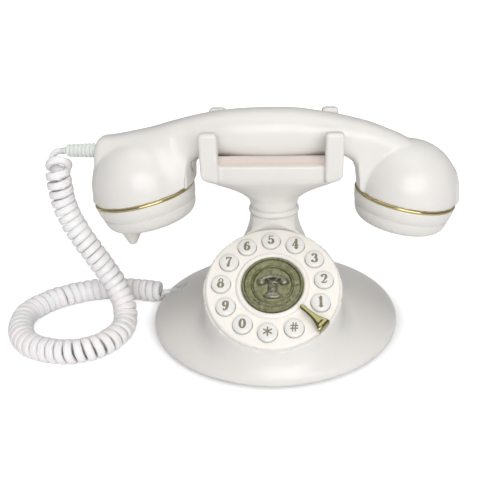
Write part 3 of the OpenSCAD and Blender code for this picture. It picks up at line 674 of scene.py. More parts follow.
def make_cord():
    axis = even_line(smooth_line(FIRST_TURN + CURL_ROUTE[4:], 12), AXIS_STEP)
    tangent, normal = carried_frames(axis, (0, 0, 1))
    coil = coil_path(axis, tangent, normal)
    start, end = np.array(RELIEF_END, float), coil[0]
    lead = bezier(start, start + (-3.2, 0, 0.1), end + (3.4, 0, 0.1), end, 8)[:-1]
    tail = smooth_line(TAIL_ROUTE, 6)[4:]
    path = even_line(np.vstack([lead, coil[:-8], tail]), WIRE_STEP)
    length = np.concatenate([[0], np.cumsum(np.linalg.norm(np.diff(path, axis=0), axis=1))])
    coil_end = np.argmin(np.linalg.norm(path - tail[0], axis=1))
    path_t = np.gradient(path, axis=0)
    path_t /= np.linalg.norm(path_t, axis=1)[:, None]
    outward = outward_from(axis, tangent, path, path_t, coil_end)
    side = np.cross(path_t, outward)

    def along_wire(at_ends, on_coil, ease):
        """A value that differs between the coil's band and the round ends."""
        last = length[coil_end]
        return np.interp(length, [0, 8, 14, last - ease, last],
                         [at_ends, at_ends, on_coil, on_coil, at_ends])[:, None]

    across = along_wire(WIRE_D / 2, WIRE_ACROSS, 12)
    along = along_wire(WIRE_D / 2, WIRE_ALONG, 12)
    square = along_wire(1, BAND_SQUARENESS, 30)
    angle = np.linspace(0, 2 * math.pi, WIRE_SIDES, endpoint=False) + math.pi / WIRE_SIDES
    cos, sin = np.cos(angle)[None, :], np.sin(angle)[None, :]
    rings = (path[:, None, :]
             + (across * np.sign(cos) * np.abs(cos) ** square)[:, :, None] * outward[:, None, :]
             + (along * np.sign(sin) * np.abs(sin) ** square)[:, :, None] * side[:, None, :])
    cord = rings_object("handset_cord", rings)
    finish_piece(cord, sheath, None, sharp=0, replaces=("curly_cord", "cord_tail"))
    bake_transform(cord)
    return cord, path, length[-1] * MM


def make_relief():
    """Tapered sleeve with seven chevron ribs."""
    ribs, pitch = 7, 2.5
    profile = [(0, -1.2), (2.5, -1.2)]
    for i in range(ribs):
        r = 3.75 + 0.1 * i
        z = pitch * i
        profile += [(r - 0.75, z - 0.7), (r, z - 0.25), (r + 0.28, z + 0.3), (r + 0.28, z + 0.9),
                    (r, z + 1.3), (r - 0.75, z + 1.6)]
    profile += [(4.1, 18), (4.1, 20), (0, 20)]
    verts, faces = lathe_data(fillet(profile, [0.1] * (len(profile) - 2), 2), 40)
    # The ribs lean back at both sides
    lean = np.abs(verts[:, 1]) * 0.22
    verts[:, 2] += np.where((verts[:, 2] > 0.2) & (verts[:, 2] < 17), -lean + 0.5, 0)
    place = Matrix.Translation(RELIEF_END) @ Matrix.Rotation(math.radians(90), 4, "Y")
    relief = mesh_object("strain_relief", placed(verts, place), faces)
    return finish_piece(relief, relief_white, "handset", 50, ("cord_strain_relief",))


cord, cord_path, cord_length = make_cord()
relief = make_relief()


# ---------- Floor and light ----------

SKY = 1.0
AROUND = 0.26
FLOOR_SIDES = 64


def seen_by_camera(tree):
    return tree.nodes.new("ShaderNodeLightPath").outputs["Is Camera Ray"]


def make_stage():
    """A round pale floor. Its own glow grows with distance, where the lamps reach it less, and drops in a
    ring right beside the base as a painted contact shadow.
    """
    verts, faces = [(0, 0, 0)], []
    rows = [0.3, 0.7, 1.5, 3, 6, 14]
    for r in rows:
        verts += [(x, y, 0) for x, y in circle_points(FLOOR_SIDES, r)]
    for j in range(FLOOR_SIDES):
        k = (j + 1) % FLOOR_SIDES
        faces.append([0, 1 + j, 1 + k])
        for i in range(len(rows) - 1):
            a, b = 1 + FLOOR_SIDES * i, 1 + FLOOR_SIDES * (i + 1)
            faces.append([a + j, b + j, b + k, a + k])
    floor = mesh_object("floor", np.array(verts) / MM, faces)
    mat, tree, shader = new_material("floor_paper", (0.86, 0.86, 0.87), 0.75, specular=0.1)
    where = tree.nodes.new("ShaderNodeTexCoord")
    length = tree.nodes.new("ShaderNodeVectorMath")
    length.operation = "LENGTH"
    tree.links.new(where.outputs["Object"], length.inputs[0])
    away = length.outputs["Value"]
    glow = map_range(tree, away, 0.1, 0.8, 0.55, 1.0, smooth=True)
    # Hardly any glow right beside the base: the glow falls to a fifth in a ring there, a painted contact
    # shadow on the floor
    painted_contact_shadow = map_range(tree, away, 0.078, 0.095, 0.2, 1.0, smooth=True)
    strength = math_node(tree, "MULTIPLY", math_node(tree, "MULTIPLY", glow, painted_contact_shadow), seen_by_camera(tree))
    tree.links.new(strength, shader.inputs["Emission Strength"])
    shader.inputs["Emission Color"].default_value = (1, 1, 1, 1)
    floor.data.materials.append(mat)


def area_light(name, place, target, size, power, size_y=None):
    data = bpy.data.lights.new(name, "AREA")
    data.energy = power
    data.size = size
    if size_y:
        data.shape = "RECTANGLE"
        data.size_y = size_y
    light = bpy.data.objects.new(name, data)
    bpy.context.scene.collection.objects.link(light)
    light.location = place
    light.rotation_mode = "QUATERNION"
    light.rotation_quaternion = (Vector(target) - Vector(place)).to_track_quat("-Z", "Y")


def make_light():
    """A white studio that the camera sees bright, with a dimmer glow all around and three lamps."""
    world = bpy.data.worlds.new("studio")
    bpy.context.scene.world = world
    world.use_nodes = True
    tree = world.node_tree
    back = tree.nodes["Background"]
    back.inputs["Color"].default_value = (1, 1, 1, 1)
    strength = map_range(tree, seen_by_camera(tree), 0, 1, AROUND, SKY)
    tree.links.new(strength, back.inputs["Strength"])
    area_light("top", (0.05, 0.1, 1.4), (0, 0, 0.02), 1.3, 7)
    area_light("front", (0.3, -1.3, 0.7), (0, 0, 0.05), 1.3, 14.5, size_y=0.9)
    area_light("glint", (0.05, -1.0, 1.05), (0, 0, 0.1), 0.14, 0.5)
    bpy.context.scene.view_settings.view_transform = "Standard"
    bpy.context.scene.view_settings.look = "None"


make_stage()
make_light()


# ---------- Base and neck ----------

# Radius of the base and neck at each height, from the foot to the collar
base_radius = through(
    [1.5, 2.3, 3.4, 5.2, 7.9, 10.5, 13.2, 16, 18.6, 21.6, 24.8, 28.6, 34, 41, 50, 60, 66, 71, 76.6],
    [81, 81.7, 81.95, 82, 80.6, 76.6, 70.6, 62.8, 55.4, 48.2, 42, 36.6, 31.4, 28, 23.8, 19.6, 17.2,
     15.8, 15.2])
HEIGHTS = np.linspace(FEET_H, 76.6, 1500)
RADII = base_radius(HEIGHTS)
# The table's slight steps in slope are evened out by a bell curve over the heights
KERNEL = np.exp(-0.5 * (np.arange(-60, 61) / 22) ** 2)
RADII[60:-60] = np.convolve(RADII, KERNEL / KERNEL.sum(), mode="valid")
SLOPES = np.gradient(RADII, HEIGHTS)
# Half width, half depth and middle of the dial's seat, below the disc and at its foot
SEAT_TOP = (41.0, 34.4, -45.4)
SEAT_FOOT = (44.5, 41.5, -38.6)
# Clear space left for the dial's housing
WELL_R = 38.9
WELL_DEPTH = 16.6


def base_field(x, y, z):
    # The middle of the dome lies in front of the neck's
    rise = np.clip((z - 16) / 26, 0, 1)
    middle = BASE_Y * (1 - rise * rise * (3 - 2 * rise))
    rho = np.sqrt(x * x + (y - middle) ** 2)
    slope = np.interp(z, HEIGHTS, SLOPES)
    turned = (rho - np.interp(z, HEIGHTS, RADII)) / np.sqrt(1 + slope ** 2)
    # Sloping seat under the dial: an upright oval column cut off below the disc
    t = np.clip((z - 4) / 40, 0, 1)
    a, b, c = (low + (high - low) * t for high, low in zip(SEAT_TOP, SEAT_FOOT))
    column = (np.sqrt((x / a) ** 2 + ((y - c) / b) ** 2) - 1) * 0.5 * (a + b)
    lx, ly, lz = local_points(DIAL, x, y, z)
    seat = soft_max(column, lz + DIAL_DEPTH + 0.05, 1.2)
    f = soft_min(turned, seat, 8)
    # Round back of the seat, closed around the dial's housing
    disc = np.sqrt(lx * lx + ly * ly)
    cup = soft_max(disc - WELL_R - 1.5, -lz - WELL_DEPTH - 3, 2.5)
    cup = soft_max(cup, lz + DIAL_DEPTH + 0.05, 0.8)
    f = soft_min(f, cup, 4)
    f = soft_max(f, FEET_H - z, 0.8)
    f = soft_max(f, z - COLLAR_Z, 0.5)
    room = np.maximum(disc - 41.1, -lz - DIAL_DEPTH)
    well = np.maximum(disc - WELL_R, -lz - WELL_DEPTH)
    under = np.maximum(rho - PLATE_R, z - 3.7)
    slider = np.maximum(np.maximum(np.abs(x) - 9.3, 54.5 - y), np.abs(z - 6.3) - 3.4)
    for hole in (room, well, under, slider):
        f = soft_max(f, -hole, 0.6)
    return f


def make_base():
    shell = field_surface("base_and_neck", base_field, (-82.2, -85.2, FEET_H), (82.2, 79.2, COLLAR_Z), 1.15)
    pockets = []
    for turn in JACK_TURNS:
        v, f = rounded_box_data((-6.5, 58, -2), (6.5, 100, 14.5), 0.8)
        place = frame_at((0, BASE_Y, 0), turn, "Z")
        pockets.append(mesh_object("pocket", placed(v, place), f))
    v, f = rounded_box_data((-7, 57, 5.5), (7, 100, 8.7), 0.4)
    pockets.append(mesh_object("slot", v, f))
    cut(shell, pockets)
    return finish_piece(shell, ivory, "base", 45, ("base_shell", "neck_column"))


make_base()


def make_collar():
    bead = [(14.1 + 2.15 * math.cos(a), 78.6 + 2.15 * math.sin(a)) for a in np.linspace(-1.15, 1.15, 16)]
    top = COLLAR_Z + COLLAR_H
    profile = [(5.1, COLLAR_Z), (14.9, COLLAR_Z)] + bead + [(14.7, top), (5.1, top)]
    collar = lathe_ring("collar_bead", profile, Matrix.Identity(4), 96)
    finish_piece(collar, ivory, "base", 40, ("neck_collar",))


make_collar()


# ---------- Cradle ----------

YOKE_Z = COLLAR_Z + COLLAR_H
CRADLE_TOP = 114
FRONT_TOP = 134
REAR_TOP = 137.6
yoke_levels = [YOKE_Z, 86, 90, 94, 97.5, 100.5, 103.5, 107, CRADLE_TOP]
yoke_half_x = through(yoke_levels, [14.6, 16, 19.8, 26, 33, 38.6, 41.2, 42.2, 42.5])
yoke_half_y = through(yoke_levels, [14.6, 15, 16.4, 18.8, 21.5, 24, 26, 27, 27.5])
yoke_square = through(yoke_levels, [2, 2.1, 2.3, 2.6, 3, 3.6, 4.4, 5, 5.4])


def superellipse(x, y, a, b, e):
    return ((np.abs(x / a) ** e + np.abs(y / b) ** e + 1e-9) ** (1 / e) - 1) * np.minimum(a, b)


def cradle_field(x, y, z):
    w, d, e = yoke_half_x(z), yoke_half_y(z), yoke_square(z)
    slope = (yoke_half_x(z + 0.3) - yoke_half_x(z - 0.3)) / 0.6 * np.abs(x) / (w + 1)
    body = superellipse(x, y, w, d, e) / np.sqrt(1 + slope ** 2)
    body = soft_max(body, z - CRADLE_TOP, 1.4)
    inner = np.maximum(superellipse(x, y, 39.0, 23.8, 5), 104 - z)
    body = soft_max(body, -inner, 0.8)
    # Four upright prongs on the corners
    top = np.where(y < 0, FRONT_TOP, REAR_TOP)
    out_x = np.minimum(41.6, w - 0.2)
    out_y = np.minimum(30, d + 2.4)
    prong = soft_max(np.abs(x) - out_x, 30.9 - np.abs(x), 3.0)
    prong = soft_max(prong, np.abs(y) - out_y, 2.2)
    prong = soft_max(prong, 21.6 - np.abs(y), 2.2)
    prong = soft_max(prong, z - top, 2.4)
    prong = soft_max(prong, 102.2 + 0.3 * (np.abs(x) - 31) - z, 5)
    f = soft_min(body, prong, 2.2)
    trough = 17.8 - np.sqrt(y * y + (z - 128) ** 2)
    f = soft_max(f, trough, 0.8)
    return soft_max(f, YOKE_Z - z, 0.5)


def make_cradle():
    for name, side, node in (("cradle_front_half", -1, "cradle_front"),
                             ("cradle_rear_half", 1, "cradle_rear")):
        def half(x, y, z):
            return soft_max(cradle_field(x, y, z), 0.08 - side * y, 0.5)
        low = (-43, -31, YOKE_Z) if side < 0 else (-43, 0, YOKE_Z)
        high = (43, 0, 136) if side < 0 else (43, 31, 139)
        piece = field_surface(name, half, low, high, 0.7)
        finish_piece(piece, ivory, "base", 50, (node,))


make_cradle()


# ---------- Handset ----------

arm_top = through(
    [-120, -104, -98, -83, -73, -63, -53, -43, -28, -14, 0, 14, 25, 40, 50, 60, 70, 80, 90, 100,
     107, 112, 116],
    [125.4, 126.4, 127, 129.6, 131.6, 134.4, 137, 139.2, 141.5, 142.5, 142.8, 142.4, 141, 138.3, 136,
     133.2, 129.4, 125.2, 117.8, 108.8, 99, 90, 76])
arm_bottom = through(
    [-120, -57, -53.6, -52.4, -51, -48, -42, -33, -17, 0, 17, 33, 42, 48, 51, 52.6, 53.8, 57, 120],
    [70, 74, 84, 96, 106, 111.4, 114.2, 114.6, 112.3, 111.2, 112.2, 114.2, 113.8, 110.8, 105, 95, 83,
     74, 70])
arm_half = through([-120, -110, -80, -60, -40, -15, 15, 40, 60, 80, 100, 116],
                   [10.5, 11, 12.4, 13.4, 14.6, 15.8, 15.8, 14.6, 13, 11, 9, 4])
cover_line = through([-57.5, -54, -50, -42, -33, -17, 0, 17, 33, 42, 50, 54, 57.5],
                     [103, 108, 112.6, 115.6, 115.9, 113.6, 112.5, 113.5, 115.5, 115.2, 112, 107.5, 102])
COVER_END = 49.5


def arm_field(x, y, z):
    """The grip and the two arms that bend down into the cups."""
    top, bottom = arm_top(x), arm_bottom(x)
    mid, half = (top + bottom) / 2, (top - bottom) / 2
    # The depth over which the top and the underside round off
    edge = soft_min(half, 15, 2)
    e = 2.3 + 0.7 * np.clip((np.abs(x) - 35) / 25, 0, 1)
    slope = np.where(z > mid, (arm_top(x + 0.2) - arm_top(x - 0.2)) / 0.4,
                     (arm_bottom(x + 0.2) - arm_bottom(x - 0.2)) / 0.4)
    up = (np.maximum(np.abs(z - mid) - half + edge, 0) / edge) ** e
    out = np.abs(y / arm_half(x)) ** e
    share = up / (up + out + 1e-9)
    thick = share * edge + (1 - share) * arm_half(x)
    f = ((up + out + 1e-9) ** (1 / e) - 1) * thick / np.sqrt(1 + share * slope ** 2)
    tail = -108.2 - (123 - z) * 0.165 - x
    return soft_max(f, tail, 5)


def dome_field(place, x, y, z):
    """A cup's dome, with the place across it and along its axis."""
    lx, ly, lz = local_points(place, x, y, z)
    up = np.maximum(lz - DOME_LIFT, 0)
    return np.sqrt(lx * lx + ly * ly + up * up) - DOME_R, lx, lz


def handset_field(x, y, z):
    arm = arm_field(x, y, z)
    mouth, mx, mz = dome_field(MOUTH_FRAME, x, y, z)
    ear, ex, ez = dome_field(EAR_FRAME, x, y, z)
    # Crisp meeting line on the cord side, soft towards the grip
    k_mouth = 1.2 + 15 * np.clip((mx - 4) / 24, 0, 1)
    k_ear = 1.6 + 8 * np.clip((ex - 2) / 18, 0, 1)
    f = soft_min(soft_min(arm, mouth, k_mouth), ear, k_ear)
    # The arm's foot draws in to the ring
    out, up = np.where(x < 0, mx, ex), np.where(x < 0, mz, ez)
    foot = np.hypot(out, y) - RING_R + 0.6 - 1.3 * np.maximum(up, 0) - 6 * np.maximum(z - 98, 0)
    return soft_max(soft_max(f, foot, 1), -up, 0.5)


def cover_zone(x, z):
    """Where the handset belongs to the cover under the grip."""
    return soft_max(np.abs(x) - COVER_END, z - cover_line(x), 2)


def upper_field(x, y, z):
    return soft_max(handset_field(x, y, z), -cover_zone(x, z) + 0.06, 0.5)


def lower_field(x, y, z):
    return soft_max(handset_field(x, y, z) + 0.25, cover_zone(x, z) + 0.06, 0.5)


def make_handset():
    upper = field_surface("handset_upper", upper_field, (-116, -31.5, 78), (115.5, 31.5, 143), 0.85)
    finish_piece(upper, ivory, "handset", 50, ("handset_upper_shell",))
    lower = field_surface("handset_cover", lower_field, (-58, -16.5, 84), (58, 16.5, 118), 0.7)
    finish_piece(lower, ivory, "handset", 50, ("handset_lower_shell",))


make_handset()


def saddle_field(x, y, z):
    # Flat plate with two lips that meet the underside of the grip
    lip = 3.6 * np.exp(-((np.abs(y) - 15.6) / 4.2) ** 2)
    f = soft_max(superellipse(x, y, 38.6, 23.3, 5), z - 113.9 - lip, 0.8)
    f = soft_max(f, 108.1 - z, 0.3)
    f = soft_max(f, 0.5 - arm_field(x, y, z), 0.4)
    prongs = np.maximum(30.6 - np.abs(x), 21.3 - np.abs(y))
    f = soft_max(f, -prongs, 0.4)
    for side in (-1, 1):
        f = np.maximum(f, 3.4 - np.sqrt((x - side * 22) ** 2 + y * y))
    return f


def make_saddle():
    saddle = field_surface("saddle", saddle_field, (-39, -23.5, 108), (39, 23.5, 118), 0.7)
    finish_piece(saddle, saddle_white, "base", 45, ("saddle_plate",))


make_saddle()


def cap_profile():
    outer = [(RING_R - 0.5, -RING_H + 0.1), (RING_R - 0.3, -RING_H - 0.3), (RING_R - 0.9, -6),
             (RING_R - 1.7, -9.2), (RING_R - 2.0, -9.6), (RING_R - 2.6, -9.75), (RING_R - 2.6, -10.35)]
    low = bezier((RING_R - 2.2, -10.6), (RING_R - 2.7, -15.5), (RING_R - 4.8, -CAP_H),
                 (RING_R - 9.5, -CAP_H), 14)
    face = [(21, -CAP_H), (19.5, 0.5 - CAP_H), (18, 0.6 - CAP_H), (0, 0.6 - CAP_H)]
    return [(0, -RING_H + 0.1)] + outer + [tuple(p) for p in low] + face


def make_caps():
    sound_holes = [(0, 0)] + circle_points(6, 5.2) + circle_points(12, 10.4, 15)
    speech_holes = [(9 + x, y) for x, y in circle_points(6, 4.2)]
    for end, place, spots in (("earpiece", EAR_FRAME, sound_holes),
                              ("mouthpiece", MOUTH_FRAME, speech_holes)):
        cap = lathe(end + "_lid", cap_profile()[::-1], place, 160)
        holes = []
        for x, y in spots:
            v, f = lathe_data([(0, -2), (1.3, -2), (1.3, 3), (0, 3)], 20)
            holes.append((placed(v + (x, y, -CAP_H), place), f))
        cut(cap, [join("drill", holes)])
        finish_piece(cap, ivory, "handset", 38, (end + "_cap",))


make_caps()


def make_horn():
    flank = bezier((11.6, 0.6), (7.4, -1.4), (5.0, -8.0), (2.9, -11.8), 14)
    tip = [(2.9 * math.cos(a), -11.8 - 2.0 * math.sin(a)) for a in np.linspace(0, math.pi / 2, 7)][1:]
    profile = [(0, 3.2), (11.6, 3.2)] + [tuple(p) for p in flank] + tip
    place = MOUTH_FRAME @ Matrix.Translation((-14.2, -5, -CAP_H)) @ Matrix.Rotation(math.radians(12), 4, "Y")
    horn = lathe("mouthpiece_horn", profile[::-1], place, 72)
    finish_piece(horn, ivory, "handset", 50)


make_horn()


def make_rings():
    rim = [(RING_R - 0.9 + 0.9 * math.cos(a), RING_H / 2 * (math.sin(a) - 1))
           for a in np.linspace(-math.pi / 2, math.pi / 2, 14)]
    profile = [(28, -RING_H)] + rim + [(28, 0)]
    for end, place in (("earpiece", EAR_FRAME), ("mouthpiece", MOUTH_FRAME)):
        ring = lathe_ring(end + "_band", profile, place, 180)
        finish_piece(ring, gold, "handset", 50, (end + "_ring",))


make_rings()


# ---------- Dial ----------

def key_place(i):
    a = math.radians(FIRST_KEY + KEY_PITCH * i)
    return KEY_RING_R * math.cos(a), KEY_RING_R * math.sin(a)


def make_dial_plate():
    profile = fillet([(0, -DIAL_DEPTH), (DIAL_R, -DIAL_DEPTH), (DIAL_R, 0), (DIAL_R - 3, 0.02), (0, 0.02)],
                     [0.3, 1.6, 0.4], 8)
    plate = lathe("dial_disc", profile, DIAL, 192)
    drills = []
    for i in range(len(KEYS)):
        x, y = key_place(i)
        v, f = lathe_data([(0, -5), (KEY_R + 0.22, -5), (KEY_R + 0.22, -0.35), (KEY_R + 0.5, 0.6),
                           (0, 0.6)], 48)
        drills.append((placed(v + (x, y, 0), DIAL), f))
    cut(plate, [join("drills", drills)])
    finish_piece(plate, dial_white, "base", 32, ("dial_plate",))
    rim = [(20.4 + 1.85 * math.cos(a), 1.7 * math.sin(a)) for a in np.linspace(0, math.pi, 20)]
    ring = lathe_ring("medallion_frame", rim, DIAL, 128)
    finish_piece(ring, dial_white, "base", 40, ("medallion_ring",))


make_dial_plate()

KEY_TOP = 2.5
GLYPH_HEIGHT = 6.0
INK_DEPTH = 0.7
INK_PROUD = 0.035
key_profile = fillet(
    [(0, -6.6), (2.2, -6.6), (2.2, -4.2), (KEY_R + 0.5, -4.2), (KEY_R + 0.5, -3.2), (KEY_R, -3.2),
     (KEY_R, 1.75), (KEY_R - 1.3, KEY_TOP - 0.25), (0, KEY_TOP)],
    [0, 0, 0, 0, 0, 0.5, 1.2], 6)


def arc(cx, cy, rx, ry, start, end, n, width):
    """An oval stroke that thins towards its top and bottom."""
    out = []
    for i in range(n + 1):
        a = math.radians(start + (end - start) * i / n)
        thick = width * (0.42 + 0.58 * abs(math.cos(a)))
        out.append((cx + rx * math.cos(a), cy + ry * math.sin(a), thick))
    return out


# Half width of a bold stroke, a hairline and a sign's stroke. Each stroke of a character is a list
# of (x, y, half width), and all are in units of the height.
B = 0.135
THIN = 0.06
SIGN = 0.062
GLYPHS = {
    "1": [[(0.0, -0.5, B), (0.0, 0.5, B)], [(-0.17, -0.47, THIN), (0.17, -0.47, THIN)],
          [(0.02, 0.46, THIN), (-0.16, 0.36, THIN)]],
    "2": [arc(0, 0.24, 0.21, 0.23, 165, -35, 14, B)
          + [(0.02, -0.18, 0.06), (-0.2, -0.42, 0.05)],
          [(-0.22, -0.43, 0.06), (0.12, -0.43, 0.07), (0.25, -0.38, 0.04), (0.26, -0.24, 0.025)],
          [(-0.2, 0.27, 0.075), (-0.2, 0.24, 0.075)]],
    "3": [arc(-0.02, 0.25, 0.2, 0.21, 150, -80, 14, B), arc(-0.02, -0.22, 0.24, 0.25, 85, -150, 16, B),
          [(-0.2, 0.29, 0.07), (-0.2, 0.27, 0.07)], [(-0.22, -0.28, 0.07), (-0.22, -0.3, 0.07)]],
    "4": [[(0.1, -0.5, B), (0.1, 0.5, B)], [(0.1, 0.5, THIN), (-0.27, -0.17, THIN)],
          [(-0.28, -0.19, THIN), (0.28, -0.19, THIN)], [(-0.06, -0.47, THIN), (0.26, -0.47, THIN)]],
    "5": [[(-0.16, 0.44, 0.055), (0.2, 0.44, 0.055)], [(-0.17, 0.45, THIN), (-0.19, 0.02, THIN)],
          arc(-0.02, -0.18, 0.24, 0.28, 125, -150, 18, B), [(-0.22, -0.28, 0.07), (-0.22, -0.3, 0.07)]],
    "6": [arc(0, -0.2, 0.21, 0.27, 0, 360, 26, B),
          arc(0.1, -0.1, 0.31, 0.58, 178, 80, 12, B), [(0.17, 0.34, 0.07), (0.17, 0.32, 0.07)]],
    "7": [[(-0.24, 0.42, 0.095), (0.23, 0.42, 0.08)], [(-0.25, 0.45, 0.05), (-0.25, 0.24, 0.045)],
          [(0.24, 0.42, THIN), (0.04, 0.02, 0.09), (-0.05, -0.5, 0.14)]],
    "8": [arc(0, 0.25, 0.18, 0.22, 0, 360, 22, 0.075), arc(0, -0.22, 0.23, 0.26, 0, 360, 26, B)],
    "0": [arc(0, 0, 0.23, 0.45, 0, 360, 32, B)],
    "star": [[(x, y, 0.075), (-x, -y, 0.075)] for x, y in circle_points(3, 0.42, 30)],
    "hash": [[(-0.16, -0.42, SIGN), (-0.08, 0.42, SIGN)], [(0.1, -0.42, SIGN), (0.18, 0.42, SIGN)],
             [(-0.34, -0.14, SIGN), (0.32, -0.14, SIGN)], [(-0.32, 0.14, SIGN), (0.34, 0.14, SIGN)]],
}
GLYPHS["9"] = [[(-x, -y, width) for x, y, width in stroke] for stroke in GLYPHS["6"]]


def stroke_data(stroke, height):
    """A flat raised ribbon with round ends along one stroke, its top at zero."""
    pts = even_line(np.array(stroke, float) * height, 0.2)
    line, width = pts[:, :2], pts[:, 2]
    t = np.gradient(line, axis=0)
    t /= np.maximum(np.linalg.norm(t, axis=1), 1e-9)[:, None]
    n = np.column_stack([-t[:, 1], t[:, 0]])
    left, right = line + n * width[:, None], line - n * width[:, None]

    def round_end(centre, direction, r):
        base = math.atan2(direction[1], direction[0])
        return [centre + r * np.array([math.cos(base + a), math.sin(base + a)])
                for a in np.linspace(math.pi / 2, -math.pi / 2, 6)[1:-1]]

    outline = np.array(list(left) + round_end(line[-1], t[-1], width[-1])
                       + list(right[::-1]) + round_end(line[0], -t[0], width[0]))
    count, m = len(outline), len(left)
    verts = np.vstack([np.column_stack([outline, np.full(count, z)]) for z in (0, -INK_DEPTH)])
    # Rungs between the two sides, the two round ends, and the wall around
    faces = [[i, 2 * m + 3 - i, 2 * m + 2 - i, i + 1] for i in range(m - 1)]
    faces.append(list(range(m - 1, m + 5))[::-1])
    faces.append(([2 * m + 3] + list(range(2 * m + 4, count)) + [0])[::-1])
    faces += [[j, (j + 1) % count, count + (j + 1) % count, count + j] for j in range(count)]
    return verts, faces


def crown(r):
    """Height of a button's top at a distance from its middle."""
    return KEY_TOP - 0.25 * min(1, r / (KEY_R - 1.3))


def make_keys():
    for i, label in enumerate(KEYS):
        place = DIAL @ Matrix.Translation((*key_place(i), 0))
        cap = lathe("key_cap_" + label, key_profile, place, 64)
        finish_piece(cap, key_white, "key_" + label, 40, ("button_" + label,))
        parts = []
        for stroke in GLYPHS[label]:
            v, f = stroke_data(stroke, GLYPH_HEIGHT)
            v[:, 2] += [crown(math.hypot(x, y)) + INK_PROUD for x, y in v[:, :2]]
            parts.append((placed(v, place), f))
        mark = join("mark_" + label, parts)
        finish_piece(mark, ink, "key_" + label, 30)


make_keys()


# ---------- Medallion ----------

def oval_dome(cx, cy, rx, ry, low, high):
    profile = [(math.cos(a), math.sin(a)) for a in np.linspace(0, math.pi / 2, 8)[:-1]] + [(0, 1)]
    verts, faces = lathe_data(profile, 28)
    return verts * (rx, ry, high - low) + (cx, cy, low), faces


def medallion_band():
    """Small studs at both sides and a row of leaves along the lower band."""
    parts = []
    for x, y in circle_points(2, 14.6):
        v, f = lathe_data([(0.55, 1.0), (0.45, 1.4), (0, 1.5)], 16)
        parts.append((v + (x, y, 0), f))
    for x, y in circle_points(40, 14.5)[25:36]:
        v, f = lathe_data([(1.0, 0.9), (0.8, 1.35), (0, 1.6)], 14)
        lean = Matrix.Translation((x, y, 0)) @ Matrix.Rotation(math.atan2(y, x) + 0.5, 4, "Z")
        parts.append((placed(v * (0.45, 1, 1), lean), f))
    return parts


def medallion_relief():
    """A plain desk telephone: foot, column with its dial, two cups, the grip and the fork."""
    parts = [oval_dome(*sizes) for sizes in (
        (0, -6.2, 4.6, 1.5, 0.7, 2.0), (0, -5.0, 3.6, 1.2, 0.7, 2.3), (0, -2.2, 2.5, 3.6, 0.7, 2.2),
        (0, -2.0, 1.5, 1.5, 1.6, 2.75), (0, 1.2, 3.0, 1.1, 0.7, 2.2),
        (-5.6, 1.7, 2.5, 2.1, 0.5, 2.8), (5.6, 1.7, 2.5, 2.1, 0.5, 2.8))]
    grip = bezier((-5.6, 2.2, 1.8), (-3.6, 4.9, 2.2), (3.6, 4.9, 2.2), (5.6, 2.2, 1.8), 20)
    parts.append(tube_data(grip, 0.85, 0.95, 10, (0, 0, 1)))
    for side in (-1, 1):
        fork = bezier((side * 0.5, 0.8, 1.6), (side * 1.4, 2.0, 2.1), (side * 2.2, 2.6, 2.1),
                      (side * 3.0, 3.6, 1.9), 8)
        parts.append(tube_data(fork, 0.4, 0.45, 8, (0, 0, 1)))
    return [(v * (1.2, 1.2, 1), f) for v, f in parts]


def make_medallion():
    outline = fillet(
        [(0, -0.05), (18.5, -0.05), (18.5, 1.5), (17.9, 2.1), (17.1, 2.1), (16.5, 0.9), (13.0, 0.95),
         (12.4, 1.6), (11.9, 1.6), (11.2, 0.55), (0, 0.5)],
        [0, 0.3, 0.2, 0.2, 0.3, 0.3, 0.1, 0.1, 0.3], 4)
    disc = lathe("medallion_disc", outline, DIAL, 144)
    finish_piece(disc, bronze, "base", 40, ("medallion",))
    for name, parts in (("medallion_leaves", medallion_band()), ("medallion_motif", medallion_relief())):
        raised = join(name, [(placed(v, DIAL), f) for v, f in parts])
        finish_piece(raised, silvered, "base", 50)


make_medallion()


# ---------- Finger stop ----------

STOP_END = 39.6
STOP_HEIGHT = 4.25
STOP_BEND = 1.5


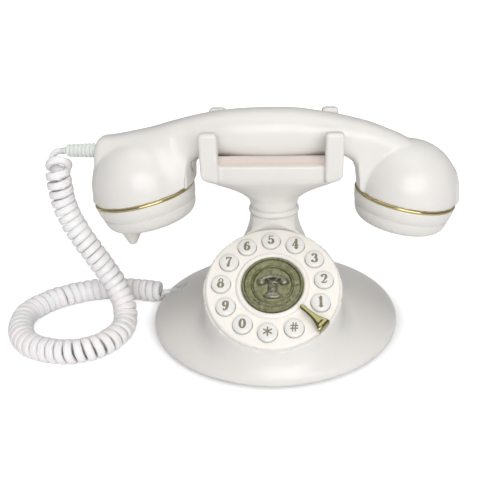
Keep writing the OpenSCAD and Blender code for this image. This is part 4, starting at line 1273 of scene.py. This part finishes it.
def make_finger_stop():
    """A pressed strip: narrow round tip, widening to a fishtail that folds over the rim."""
    half_width = through([22.6, 23.2, 24.2, 27, 31, 34, 37, 39.5, 41.6],
                         [0.3, 1.2, 1.6, 1.55, 1.7, 2.2, 3.1, 4.1, 4.4])
    # Each station is (distance from the dial's middle, height, how far the strip has turned down)
    along = list(np.linspace(22.6, 24.2, 7)) + list(np.linspace(25, STOP_END, 22))
    stations = [(r, STOP_HEIGHT, 0.0) for r in along]
    for a in np.linspace(0, math.pi / 2, 7)[1:]:
        stations.append((STOP_END + STOP_BEND * math.sin(a),
                         STOP_HEIGHT - STOP_BEND + STOP_BEND * math.cos(a), a))
    for drop in (0.8, 1.6, 2.4, 3.1):
        stations.append((STOP_END + STOP_BEND, STOP_HEIGHT - STOP_BEND - drop, math.pi / 2))
    rings = []
    for r, z, turn in stations:
        w = float(half_width(min(r + max(0, STOP_HEIGHT - z) * 0.2, 41.6)))
        lift = 0.75 if r < 38 else 0.45
        section = []
        for a in np.linspace(0, 2 * math.pi, 20, endpoint=False):
            s, c = math.sin(a), math.cos(a)
            side = w * np.sign(c) * abs(c) ** 0.8
            high = (lift if s > 0 else 0.45) * np.sign(s) * abs(s) ** 0.9
            section.append((r + high * math.sin(turn), side, z + high * math.cos(turn)))
        rings.append(section)
    rings = np.array(rings)[:, ::-1]
    place = DIAL @ Matrix.Rotation(math.radians(STOP_ANGLE), 4, "Z")
    stop = rings_object("finger_hook", placed(rings.reshape(-1, 3), place).reshape(rings.shape))
    finish_piece(stop, stop_gold_painted_reflection, "base", 45, ("finger_stop",))
    verts, faces = rounded_box_data((37, -2, -3), (38.2, 2, 4.1), 0.2)
    tongue = mesh_object("finger_hook_tongue", placed(verts, place), faces)
    finish_piece(tongue, stop_gold_painted_reflection, "base", 45)


make_finger_stop()


# ---------- CAD pieces that keep their shape ----------

KEPT = {
    ivory: ["base_plate", "hook_plungers", "dial_housing"],
    steel: ["base_screws", "neck_tube", "tube_nuts", "cradle_screws", "hook_spring", "dial_screws",
            "receiver_capsule", "microphone_capsule", "handset_screws", "ringer_switch"],
    iron: ["ballast_weight", "handset_weight"],
    black: ["ringer", "line_jack", "handset_jack", "hook_switch", "ringer_slider"],
    board: ["main_circuit_board", "keypad_board", "keypad_ribbon"],
    rubber: ["rubber_feet", "keypad_mat", "receiver_gasket", "microphone_holder"],
    clear: ["cord_plug"],
}
for material, nodes in KEPT.items():
    for node in nodes:
        obj = bpy.data.objects[node]
        for slot in obj.material_slots:
            slot.material = material
